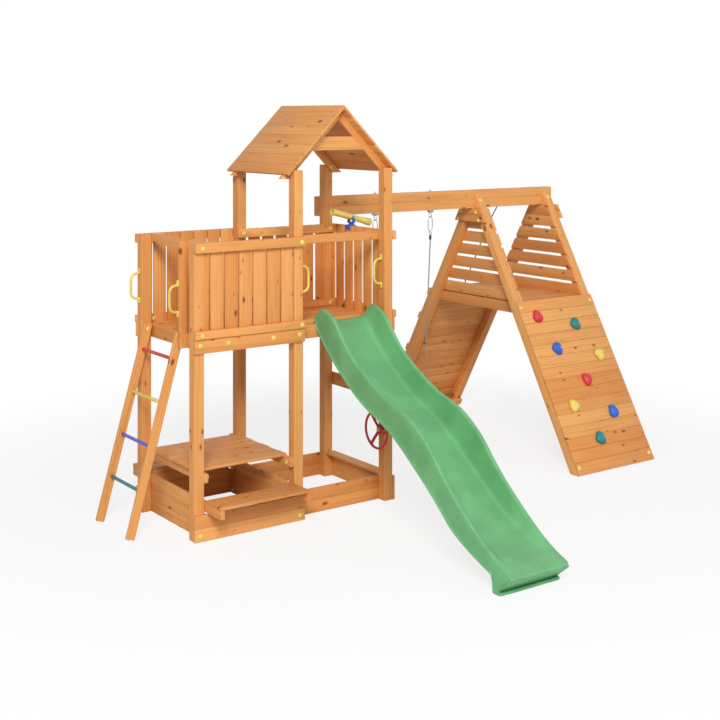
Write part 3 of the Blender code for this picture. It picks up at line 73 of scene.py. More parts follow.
TOWER_BODY = "playground"
GAP = 0.0003  # between pieces that touch on the real set


class Grain(Enum):
    """Where a timber's grain runs: along an axis, or as its boards say."""

    X = "X"
    Y = "Y"
    Z = "Z"
    BOARDS = "boards"


AXIS_ORDER = {Grain.X: (0, 1, 2), Grain.Y: (1, 0, 2), Grain.Z: (2, 0, 1)}


class Paint(Enum):
    """Colours of the painted and moulded parts, as linear RGB."""

    YELLOW = (0.84, 0.66, 0.13)
    RED = (0.72, 0.03, 0.045)
    BLUE = (0.02, 0.13, 0.62)
    VIOLET = (0.11, 0.11, 0.75)
    TEAL = (0.01, 0.22, 0.24)
    GREEN = (0.145, 0.44, 0.180)


class Value:
    """A shader value on which Python operators add Math nodes."""

    def __init__(self, recipe: "Recipe", socket: bpy.types.NodeSocket) -> None:
        """Keep a socket and the recipe whose tree holds it."""
        self.recipe = recipe
        self.socket = socket

    def _math(self, operation: str, first: object, second: object) -> "Value":
        """Add a Math node that works on two values or numbers."""
        node = self.recipe.node("ShaderNodeMath", {"operation": operation}, {0: first, 1: second})
        return self.recipe.out(node)

    def __add__(self, other: object) -> "Value":
        """Sum."""
        return self._math("ADD", self, other)

    __radd__ = __add__

    def __sub__(self, other: object) -> "Value":
        """Difference."""
        return self._math("SUBTRACT", self, other)

    def __rsub__(self, other: object) -> "Value":
        """Difference from a number."""
        return self._math("SUBTRACT", other, self)

    def __mul__(self, other: object) -> "Value":
        """Product."""
        return self._math("MULTIPLY", self, other)

    __rmul__ = __mul__

    def power(self, other: object) -> "Value":
        """This value to a power."""
        return self._math("POWER", self, other)

    def step(self, low: float, high: float) -> "Value":
        """Rise smoothly from 0 at low to 1 at high, or fall where high is the smaller."""
        node = self.recipe.node("ShaderNodeMapRange", {"interpolation_type": "SMOOTHSTEP"},
                                {"Value": self, "From Min": low, "From Max": high})
        return self.recipe.out(node)


Input = Union[Value, float, tuple, Vector]


class Recipe:
    """A node material under construction."""

    def __init__(self, name: str) -> None:
        """Start a material with an empty Principled shader."""
        self.material = bpy.data.materials.new(name)
        self.material.use_nodes = True
        self.tree = self.material.node_tree
        self.shader = self.tree.nodes["Principled BSDF"]
        self.output = self.tree.nodes["Material Output"]

    @classmethod
    def of_world(cls, world: bpy.types.World) -> "Recipe":
        """A recipe that adds its nodes to a world."""
        recipe = cls.__new__(cls)
        recipe.tree = world.node_tree
        return recipe

    def light_ray(self, *kinds: str) -> Value:
        """1 for rays of the given kinds and 0 for all others."""
        path = self.node("ShaderNodeLightPath")
        share = self.out(path, kinds[0])
        for kind in kinds[1:]:
            share = share + self.out(path, kind)
        return share

    def node(self, kind: str, settings: Optional[dict] = None,
             sockets: Optional[dict] = None) -> bpy.types.Node:
        """Add a node.

        Args:
            kind: the node's type.
            settings: its properties, set first.
            sockets: values or links of its inputs, by name or index.

        Returns:
            The node.
        """
        node = self.tree.nodes.new(kind)
        for name, setting in (settings or {}).items():
            setattr(node, name, setting)
        for name, value in (sockets or {}).items():
            self.feed(node.inputs[name], value)
        return node

    def feed(self, socket: bpy.types.NodeSocket, value: object) -> None:
        """Link a value to a socket, or set the socket to a plain number or colour."""
        if isinstance(value, Value):
            self.tree.links.new(value.socket, socket)
        elif isinstance(value, tuple) and socket.type == "RGBA" and len(value) == 3:
            socket.default_value = (*value, 1.0)
        else:
            socket.default_value = value

    def out(self, node: bpy.types.Node, socket: Union[int, str] = 0) -> Value:
        """One output of a node as a value."""
        return Value(self, node.outputs[socket])

    def mix(self, share: Input, first: Input, second: Input) -> Value:
        """Blend two colours, with share saying how much of the second."""
        node = self.node("ShaderNodeMix", {"data_type": "RGBA"}, {0: share, 6: first, 7: second})
        return self.out(node, 2)

    def noise(self, place: Value, scale: float, detail: float = 2.0) -> Value:
        """Noise over a place, from 0 to 1."""
        node = self.node("ShaderNodeTexNoise", {}, {"Vector": place, "Scale": scale, "Detail": detail,
                                                    "Distortion": 0.0})
        return self.out(node, 0)

    def stretch(self, place: Value, scale: tuple, offset: tuple = (0.0, 0.0, 0.0),
                turn: tuple = (0.0, 0.0, 0.0)) -> Value:
        """Scale, turn and shift a place with a Mapping node."""
        node = self.node("ShaderNodeMapping", {}, {"Vector": place, "Location": offset,
                                                   "Rotation": turn, "Scale": scale})
        return self.out(node)

    def bump(self, height: Value, strength: float, depth: float) -> Value:
        """Surface normal of a height, whose full range is depth metres."""
        node = self.node("ShaderNodeBump", {},
                         {"Strength": strength, "Distance": depth, "Height": height})
        return self.out(node)

    def surface(self, **sockets: Input) -> bpy.types.Material:
        """Feed the Principled shader, by socket name with underscores for spaces.

        Returns:
            The finished material.
        """
        for name, value in sockets.items():
            self.feed(self.shader.inputs[name.replace("_", " ")], value)
        return self.material


@dataclass(frozen=True)
class TimberFinish:
    """Honey-stained softwood: growth rings, streaks, knots and a satin stain.

    The board's face is split into cells, and a cell whose luck is over knot_luck has a knot.
    """

    name: str
    grain: Grain = Grain.BOARDS
    tone: float = 0.5
    lean: float = 0.0
    shift: tuple = (0.0, 0.0, 0.0)
    pale: Colour = (0.82, 0.410, 0.130)
    deep: Colour = (0.66, 0.245, 0.058)
    late: Colour = (0.47, 0.145, 0.033)
    halo: Colour = (0.46, 0.110, 0.028)
    knot: Colour = (0.20, 0.050, 0.018)
    cells_per_metre: tuple = (4.6, 9.0, 1.0)
    knot_luck: float = 0.58
    knot_size: float = 0.34

    def _place(self, recipe: Recipe) -> Value:
        """Where a point lies on its board: along, across and through the grain."""
        if self.grain is Grain.BOARDS:
            return recipe.out(recipe.node("ShaderNodeAttribute", {"attribute_name": "grain"}), "Vector")
        object_place = recipe.out(recipe.node("ShaderNodeTexCoord"), "Object")
        level = recipe.stretch(object_place, (1.0, 1.0, 1.0), self.shift, (0.0, self.lean, 0.0))
        split = recipe.node("ShaderNodeSeparateXYZ", {}, {0: level})
        order = enumerate(AXIS_ORDER[self.grain])
        joined = recipe.node("ShaderNodeCombineXYZ", {},
                             {index: recipe.out(split, source) for index, source in order})
        return recipe.out(joined)

    def _tone(self, recipe: Recipe) -> Input:
        """How pale a board is, from 0 to 1."""
        if self.grain is Grain.BOARDS:
            return recipe.out(recipe.node("ShaderNodeAttribute", {"attribute_name": "tone"}), "Fac")
        return self.tone

    def build(self) -> bpy.types.Material:
        """Make the material.

        Returns:
            The material.
        """
        recipe = Recipe(self.name)
        place = self._place(recipe)
        split = recipe.node("ShaderNodeSeparateXYZ", {}, {0: place})
        across = recipe.out(split, 1) + recipe.out(split, 2)
        flat = recipe.out(recipe.node("ShaderNodeCombineXYZ", {}, {0: recipe.out(split, 0), 1: across}))
        warp = recipe.noise(recipe.stretch(place, (1.6, 9.0, 9.0)), 1.0, 2.0)
        cell = recipe.node("ShaderNodeTexVoronoi", {"feature": "F1", "voronoi_dimensions": "2D"},
                           {"Vector": recipe.stretch(flat, self.cells_per_metre), "Scale": 1.0})
        reach = (recipe.out(cell, "Color") - self.knot_luck) * self.knot_size
        edge = reach - recipe.out(cell, "Distance")
        knot = edge.step(-0.012, 0.020)
        halo = edge.step(-0.10, 0.0)
        rings = recipe.out(recipe.node(
            "ShaderNodeTexWave", {"wave_type": "BANDS", "bands_direction": "Y", "wave_profile": "SAW"},
            {"Vector": recipe.stretch(place, (0.55, 13.0, 9.0)), "Scale": 1.0, "Distortion": 5.0,
             "Detail": 1.5, "Detail Scale": 0.7}), "Fac")
        streak = recipe.noise(recipe.stretch(place, (2.0, 60.0, 60.0)), 1.0, 3.0)
        base = recipe.mix(self._tone(recipe), self.deep, self.pale)
        grained = recipe.mix(rings.power(2.2) * 0.42 * (warp * 0.9 + 0.25), base, self.late)
        streaked = recipe.mix(streak.step(0.45, 0.72) * 0.35, grained, self.late)
        clouded = recipe.mix(warp.step(0.50, 0.78) * 0.30, streaked, self.pale)
        haloed = recipe.mix(halo * 0.55, clouded, self.halo)
        colour = recipe.mix(knot * 0.9, haloed, self.knot)
        height = streak * 0.5 - knot * 0.5 + rings * 0.25
        return recipe.surface(Base_Color=colour, Roughness=streak * 0.2 + 0.46,
                              Normal=recipe.bump(height, 0.35, 0.0009), Specular_IOR_Level=0.35)


@dataclass(frozen=True)
class PlasticFinish:
    """Moulded plastic: a fine grained skin, slightly uneven in colour and gloss."""

    name: str
    colour: Colour
    roughness: float = 0.36
    grain: float = 420.0
    scuff: float = 0.06

    def build(self) -> bpy.types.Material:
        """Make the material.

        Returns:
            The material.
        """
        recipe = Recipe(self.name)
        place = recipe.out(recipe.node("ShaderNodeTexCoord"), "Object")
        skin = recipe.noise(place, self.grain, 2.0)
        cloud = recipe.noise(place, 5.0, 3.0)
        dark = tuple(channel * 0.82 for channel in self.colour)
        colour = recipe.mix(cloud.step(0.35, 0.70), dark, self.colour)
        rough = cloud * self.scuff * 2.0 + (self.roughness - self.scuff) + skin * 0.05
        return recipe.surface(Base_Color=colour, Roughness=rough,
                              Normal=recipe.bump(skin, 0.18, 0.0006))


@dataclass(frozen=True)
class SteelFinish:
    """Zinc-plated wire with a fine brushed grain."""

    name: str
    colour: Colour = (0.55, 0.56, 0.58)

    def build(self) -> bpy.types.Material:
        """Make the material.

        Returns:
            The material.
        """
        recipe = Recipe(self.name)
        place = recipe.out(recipe.node("ShaderNodeTexCoord"), "Object")
        brushed = recipe.noise(recipe.stretch(place, (900.0, 900.0, 120.0)), 1.0, 2.0)
        dull = recipe.noise(place, 60.0, 2.0)
        colour = recipe.mix(dull, self.colour, tuple(channel * 0.7 for channel in self.colour))
        return recipe.surface(Base_Color=colour, Metallic=1.0, Roughness=brushed * 0.2 + 0.22,
                              Normal=recipe.bump(brushed, 0.1, 0.0002))


@dataclass(frozen=True)
class RopeFinish:
    """Fibre rope: uneven yarns on strands that the mesh itself twists."""

    name: str
    colour: Colour

    def build(self) -> bpy.types.Material:
        """Make the material.

        Returns:
            The material.
        """
        recipe = Recipe(self.name)
        place = recipe.out(recipe.node("ShaderNodeTexCoord"), "Object")
        yarn = recipe.noise(recipe.stretch(place, (1.0, 1.0, 0.3)), 1400.0, 2.0)
        wear = recipe.noise(place, 14.0, 2.0)
        dark = tuple(channel * 0.55 for channel in self.colour)
        colour = recipe.mix(yarn * 0.7 + wear * 0.3, dark, self.colour)
        return recipe.surface(Base_Color=colour, Roughness=0.88, Normal=recipe.bump(yarn, 0.6, 0.0006))


@dataclass
class Boards:
    """Boards of one piece, gathered in one mesh with their grain stored on it."""

    name: str
    seed: int
    ease: float = 0.0022
    mesh: bmesh.types.BMesh = field(default_factory=bmesh.new)

    def __post_init__(self) -> None:
        """Prepare the layers that the timber finish reads."""
        self.chance = random.Random(self.seed)
        self.mesh.verts.layers.float_vector.new("grain")
        self.mesh.verts.layers.float.new("tone")

    def lay(self, x: Span, y: Span, z: Span, grain: Grain, frame: Matrix = Matrix.Identity(4),
            cuts: Sequence[tuple] = (), tone: Optional[float] = None) -> None:
        """Add one board.

        Args:
            x: its low and high along its frame's X.
            y: the same along Y.
            z: the same along Z.
            grain: which of its frame's axes the grain follows.
            frame: where its frame stands.
            cuts: planes as (point, normal), each of which takes away what lies beyond it.
            tone: how pale it is, or none for chance.
        """
        board = bmesh.new()
        size = [high - low for low, high in (x, y, z)]
        middle = [(high + low) / 2 for low, high in (x, y, z)]
        place = Matrix.Translation(middle) @ Matrix.Diagonal((*size, 1.0))
        bmesh.ops.create_cube(board, size=1.0, matrix=place)
        bmesh.ops.bevel(board, geom=board.edges[:], offset=min(self.ease, min(size) * 0.2), segments=2,
                        profile=0.5, material=-1, affect="EDGES")
        run = board.verts.layers.float_vector.new("grain")
        pale = board.verts.layers.float.new("tone")
        offset = Vector([self.chance.uniform(0, 40) for _ in range(3)])
        shade = self.chance.uniform(0.15, 0.95) if tone is None else tone
        for vert in board.verts:
            vert[run] = Vector([vert.co[index] for index in AXIS_ORDER[grain]]) + offset
            vert[pale] = shade
        bmesh.ops.transform(board, matrix=frame, verts=board.verts)
        for point, normal in cuts:
            geometry = board.verts[:] + board.edges[:] + board.faces[:]
            cut = bmesh.ops.bisect_plane(board, geom=geometry, plane_co=point, plane_no=normal,
                                         clear_outer=True)
            rim = [item for item in cut["geom_cut"] if isinstance(item, bmesh.types.BMEdge)]
            bmesh.ops.edgeloop_fill(board, edges=rim)
        bmesh.ops.recalc_face_normals(board, faces=board.faces)
        part = bpy.data.meshes.new("board")
        board.to_mesh(part)
        board.free()
        self.mesh.from_mesh(part)
        bpy.data.meshes.remove(part)

    def done(self, node: str) -> None:
        """Make the piece that stands for a CAD node."""
        piece = as_piece(self.name, self.mesh, TimberFinish(self.name + "_timber").build())
        stand_for(piece, "timber", node)


def as_piece(name: str, mesh: bmesh.types.BMesh, material: bpy.types.Material, body: str = TOWER_BODY,
             sharp: float = 35.0) -> bpy.types.Object:
    """Turn a bmesh into a piece that rides on a body.

    Args:
        name: the piece's name.
        mesh: its shape, in place, which is freed.
        material: its finish.
        body: the body it rides on.
        sharp: edges over this many degrees stay sharp.

    Returns:
        The piece.
    """
    data = bpy.data.meshes.new(name)
    mesh.to_mesh(data)
    mesh.free()
    data.materials.append(material)
    data.shade_smooth()
    data.set_sharp_from_angle(angle=math.radians(sharp))
    piece = bpy.data.objects.new(name, data)
    bpy.context.collection.objects.link(piece)
    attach(piece, body)
    return piece


def stand_for(piece: bpy.types.Object, slot: str, *nodes: str) -> None:
    """Put a piece in the place of CAD nodes, which it hides."""
    if nodes:
        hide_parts(*nodes)


def rounded(piece: bpy.types.Object, levels: int) -> None:
    """Subdivide a piece smoothly."""
    rounding = piece.modifiers.new("rounding", "SUBSURF")
    rounding.levels = levels
    rounding.render_levels = levels


def between(one: float, other: float) -> Span:
    """The span between two places, low one first."""
    return min(one, other), max(one, other)


def dress(name: str, finish: Union[TimberFinish, PlasticFinish, SteelFinish, RopeFinish]) -> None:
    """Give a CAD node, whose shape stays, a finish of its own."""
    data = bpy.data.objects[name].data
    data.materials.clear()
    data.materials.append(finish.build())


@dataclass
class Moulding:
    """A rounded piece: a node's own mesh, merged, with its sharp edges creased, subdivided."""

    node: str
    slot: str
    body: str = TOWER_BODY
    levels: int = 2
    crease_over: float = 48.0

    def build(self, material: bpy.types.Material) -> None:
        """Make the piece of a material."""
        mesh = bmesh.new()
        mesh.from_mesh(bpy.data.objects[self.node].data)
        bmesh.ops.remove_doubles(mesh, verts=mesh.verts, dist=0.00002)
        bmesh.ops.join_triangles(mesh, faces=mesh.faces, angle_face_threshold=math.radians(30),
                                 angle_shape_threshold=math.radians(60))
        crease = mesh.edges.layers.float.new("crease_edge")
        for edge in mesh.edges:
            if len(edge.link_faces) == 2 and edge.calc_face_angle(0.0) > math.radians(self.crease_over):
                edge[crease] = 0.8
        piece = as_piece(self.node + "_moulded", mesh, material, self.body, sharp=70.0)
        rounded(piece, self.levels)
        stand_for(piece, self.slot, self.node)


def slats(low: float, high: float, first_gap: float, width: float, gap: float) -> list[Span]:
    """Guard slats between two posts, cut to fit at the ends.

    Args:
        low: face of the first post.
        high: face of the second post.
        first_gap: middle of the first gap, from the first post's face.
        width: width of a slat.
        gap: gap between slats.

    Returns:
        The low and high of each slat.
    """
    start = low + first_gap - gap / 2 - width
    spans = []
    while start < high:
        near, far = max(start, low + GAP), min(start + width, high - GAP)
        if far - near > 0.015:
            spans.append((near, far))
        start += width + gap
    return spans


def row(low: float, high: float, count: int, gap: float) -> list[Span]:
    """Low and high of each of count even boards with gaps between them."""
    pitch = (high - low + gap) / count
    return [(low + pitch * index, low + pitch * index + pitch - gap) for index in range(count)]


@dataclass
class Tower:
    """Posts, guard sides, doorways, deck and base of the tower."""

    post: float = 0.080
    bay: float = 0.850
    board: float = 0.0197
    slat: float = 0.014
    rail: float = 0.034
    rail_high: float = 0.069
    lower_rail: Span = (1.457, 1.515)
    deck_board: Span = (1.4335, 1.4555)
    joist: Span = (1.3543, 1.4332)
    deck_row: Span = (0.0608, 0.7894)
    frame_board: Span = (1.352, 1.456)
    guard_top: float = 2.147
    base_board: float = 0.095
    seam: float = 0.0012

    def posts(self) -> None:
        """Dress the posts and single timbers that keep their CAD shape."""
        singles = {
            "post_front_left": (Grain.Z, 0.62), "post_front_middle": (Grain.Z, 0.75),
            "post_front_right": (Grain.Z, 0.50), "post_back_left": (Grain.Z, 0.45),
            "post_back_middle": (Grain.Z, 0.55), "post_back_right": (Grain.Z, 0.60),
            "slide_safety_bar": (Grain.X, 0.55),
            "mid_board": (Grain.Y, 0.60), "swing_beam": (Grain.X, 0.70), "foot_rail": (Grain.X, 0.50),
        }
        for number, (name, (grain, tone)) in enumerate(singles.items()):
            shift = (number * 3.1, number * 1.7, 0.4)
            dress(name, TimberFinish(name + "_timber", grain, tone, shift=shift))

    def guards(self) -> None:
        """Rails, frame boards and slats of the closed sides."""
        half = self.post / 2
        inner = self.bay - half
        right = 2 * self.bay + half
        close = slats(half, inner, 0.046, 0.108, 0.0125)
        sides = (
            ("guard_front", Grain.X, -half, -1, close),
            ("guard_back", Grain.X, self.bay + half, 1, close),
            ("guard_right", Grain.Y, right, 1, slats(half, inner, 0.0535, 0.105, 0.026)),
            ("guard_back_right", Grain.X, inner, -1,
             slats(self.bay + half, right - self.post, 0.013, 0.105, 0.026)),
        )
        for seed, (name, grain, plane, side, spans) in enumerate(sides):
            boards = Boards(name + "_boards", 11 + seed)
            low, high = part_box(name)
            length = (low.x, high.x) if grain is Grain.X else (low.y, high.y)
            rail_run = (length[0], self.bay + half + 0.005) if name == "guard_back" else length

            def put(run: Span, near: float, thick: float, z: Span, way: Grain) -> None:
                """Lay one board of this side."""
                depth = between(plane + side * near, plane + side * (near + thick))
                if grain is Grain.X:
                    boards.lay(run, depth, z, way)
                else:
                    boards.lay(depth, run, z, way)

            put(rail_run, GAP, self.rail, (self.guard_top - self.rail_high, self.guard_top), grain)
            put(rail_run, GAP, self.rail, self.lower_rail, grain)
            put(length, GAP, self.board, self.frame_board, grain)
            for span in spans:
                put(span, -self.slat, self.slat, (self.frame_board[0], self.guard_top), Grain.Z)
            boards.done(name)

    def doorway(self) -> None:
        """Safety bar, frame board, jamb and filler slat on the ladder side."""
        boards = Boards("ladder_doorway_boards", 21)
        low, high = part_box("ladder_doorway")
        half = self.post / 2
        bar = (half + GAP, half + GAP + self.rail)
        boards.lay(bar, (low.y, high.y), (self.guard_top - self.rail_high, self.guard_top), Grain.Y)
        boards.lay((bar[0], bar[0] + self.board), (low.y, high.y), self.frame_board, Grain.Y)
        boards.lay((low.x, half), (0.221, 0.255), (self.frame_board[0], 2.140), Grain.Z)
        boards.lay((bar[1] + GAP, high.x), (half + GAP, 0.2085),
                   (self.deck_board[1] + GAP, self.guard_top), Grain.Z)
        boards.done("ladder_doorway")

    def deck(self) -> None:
        """Deck boards, joists, and the sill and frame board of the slide doorway."""
        boards = Boards("deck_boards", 31)
        low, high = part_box("deck")
        inside, back = self.deck_row
        bay_end = self.bay - self.post / 2
        for span in row(inside, back, 8, 0.004):
            boards.lay((inside, high.x), span, self.deck_board, Grain.X)
        boards.lay((inside, bay_end - GAP), (low.y, inside - 0.004), self.deck_board, Grain.X)
        boards.lay((inside, bay_end - 0.0053), (back + 0.0043, high.y), self.deck_board, Grain.X)
        boards.lay((bay_end, high.x), (0.0403, 0.0600), self.frame_board, Grain.X)
        boards.lay((bay_end, high.x), (0.0745, 0.1435), (self.deck_board[1] + GAP, high.z), Grain.X)
        for bay, run in ((0.0, (low.y, high.y)), (self.bay, (inside, back))):
            for inset in (0.233, 0.614):
                middle = bay + inset
                boards.lay((middle - self.rail / 2, middle + self.rail / 2), run, self.joist, Grain.Y)
        boards.done("deck")

    def base(self) -> None:
        """Boards round the sandbox, the partition and the sandbox seat."""
        for seed, (name, grain, levels) in enumerate((
                ("base_front", Grain.X, 2), ("base_slide", Grain.X, 2), ("base_left", Grain.Y, 3),
                ("base_partition", Grain.Y, 3), ("base_back", Grain.X, 3), ("base_right", Grain.Y, 2))):
            boards = Boards(name + "_boards", 41 + seed)
            low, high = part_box(name)
            half = self.post / 2
            x, y = (low.x, high.x), (low.y, high.y)
            if name == "base_right":
                boards.lay(x, (half + 0.0203, self.bay - half - GAP), (0.1905, high.z), Grain.Y)
                x = (2 * self.bay + half + GAP, high.x)
            for level in range(levels):
                seam = self.seam if level else 0.0
                z = (self.base_board * level + seam, self.base_board * (level + 1))
                run_x, run_y = x, y
                if level == 2 and grain is Grain.Y:
                    run_y = (half + GAP, self.bay - half - GAP)
                if level == 2 and grain is Grain.X:
                    run_x = (half + self.rail + 0.0006, self.bay - half - self.rail - 0.0006)
                boards.lay(run_x, run_y, z, grain)
            boards.done(name)

    def build(self) -> None:
        """Dress the whole tower."""
        self.posts()
        self.guards()
        self.doorway()
        self.deck()
        self.base()


@dataclass
class PicnicSet:
    """Table and two benches under the deck."""

    rail: float = 0.034
    board: float = 0.0197
    boards_across: int = 6
    stagger: float = 0.008

    def _cleats(self, boards: Boards, y: Span, z: Span) -> None:
        """Two timbers under the boards, against the posts."""
        for x in ((0.0403, 0.0403 + self.rail), (0.8097 - self.rail, 0.8097)):
            boards.lay(x, y, z, Grain.Y)

    def build(self) -> None:
        """Make the table and the benches."""
        table = Boards("picnic_table_boards", 51)
        low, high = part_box("picnic_table")
        top = (high.z - self.board, high.z)
        self._cleats(table, (low.y, high.y), (low.z, top[0] - GAP))
        for index, y in enumerate(row(0.042, 0.787, self.boards_across, 0.0065)):
            table.lay((0.015, 0.795 - self.stagger * (index % 2)), y, top, Grain.X)
        table.done("picnic_table")
        for seed, name in enumerate(("bench_front", "bench_back")):
            bench = Boards(name + "_boards", 52 + seed)
            low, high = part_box(name)
            front = name == "bench_front"
            top = (high.z - self.board, high.z)
            brackets = (low.y + 0.004, high.y) if front else (low.y, high.y - 0.004)
            self._cleats(bench, brackets, (low.z, top[0] - GAP))
            seat = (low.y, low.y + 0.223) if front else (high.y - 0.223, high.y)
            for y in row(*seat, 2, 0.006):
                bench.lay((0.0403, 0.790), y, top, Grain.X)
            bench.done(name)


@dataclass
class Ladder:
    """Leaning stringers and painted rungs."""

    def build(self) -> None:
        """Dress the ladder."""
        lean = math.atan2(0.4055, 1.462)
        for index, name in enumerate(("ladder_stringer_right", "ladder_stringer_left")):
            dress(name, TimberFinish(name + "_timber", Grain.Z, 0.7 - 0.1 * index, -lean,
                                     (index * 2.3 + 1.1, 0.7, 0.3)))
        for name, paint in (("rung_red", Paint.RED), ("rung_yellow", Paint.YELLOW),
                            ("rung_violet", Paint.VIOLET), ("rung_teal", Paint.TEAL)):
            finish = PlasticFinish(name + "_paint", paint.value, 0.20, 240.0)
            Moulding(name, name, levels=1).build(finish.build())


@dataclass
class Roof:
    """Boarded gable roof on two trusses."""

    ridge_x: float = 1.275
    ridge_z: float = 3.123
    reach: float = 0.510
    boards_each_side: int = 7
    rafter: float = 0.060
    thick: float = 0.034
    foot_z: float = 2.584
    tie: Span = (2.797, 2.903)

    def slope(self, side: int, y: float, rise: float = 0.0) -> Matrix:
        """Frame at the ridge: X down the slope, Y to the back, Z out of the roof.

        Args:
            side: -1 for the left slope, 1 for the right.
            y: where the frame stands along Y.
            rise: how far above the boards' underside.

        Returns:
            The frame.
        """
        down = Vector((side, 0, -1)).normalized()
        out = Vector((side, 0, 1)).normalized()
        back = Vector((0, 1, 0))
        turn = Matrix((down, back, out)).transposed().to_4x4()
        return Matrix.Translation((self.ridge_x, y, self.ridge_z + rise)) @ turn

    def covering(self) -> None:
        """Roof boards, one on each seam, with their ends a little uneven."""
        for seed, (name, side) in enumerate((("roof_left", -1), ("roof_right", 1))):
            boards = Boards(name + "_boards", 61 + seed)
            low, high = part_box(name)
            run = self.reach * math.sqrt(2)
            frame = self.slope(side, 0.0)
            ridge = ((self.ridge_x + side * GAP, 0, 0), (-side, 0, 0))
            for index, x in enumerate(row(0.0, run, self.boards_each_side, 0.0010)):
                uneven = boards.chance.uniform(0.0, 0.003)
                start = x[0] - 0.02 if index == 0 else x[0]
                boards.lay((start, x[1]), (low.y + uneven, high.y - uneven), (0.0, 0.018), Grain.Y,
                           frame, [ridge] if index == 0 else ())
            boards.done(name)

    def trusses(self) -> None:
        """Rafters cut level at their feet, with a collar tie."""
        top = self.ridge_z - 0.0006
        for seed, (name, y) in enumerate((("truss_front", 0.0403), ("truss_back", 0.7757))):
            boards = Boards(name + "_boards", 71 + seed)
            depth = self.rafter * math.sqrt(2)
            for side in (-1, 1):
                frame = self.slope(side, y, -0.0006)
                cuts = [((self.ridge_x, 0, 0), (-side, 0, 0)), ((0, 0, self.foot_z), (0, 0, -1))]
                boards.lay((-0.08, 0.80), (0.0, self.thick), (-self.rafter, 0.0), Grain.X, frame, cuts)
            reach = top - depth - self.tie[0]
            cuts = [((self.ridge_x + side * reach, 0, self.tie[0]), (side, 0, 1)) for side in (-1, 1)]
            boards.lay((self.ridge_x - reach, self.ridge_x + reach), (y + 0.002, y + self.thick - 0.002),
                       self.tie, Grain.X, cuts=cuts)
            boards.done(name)

    def build(self) -> None:
        """Make the roof."""
        self.covering()
        self.trusses()


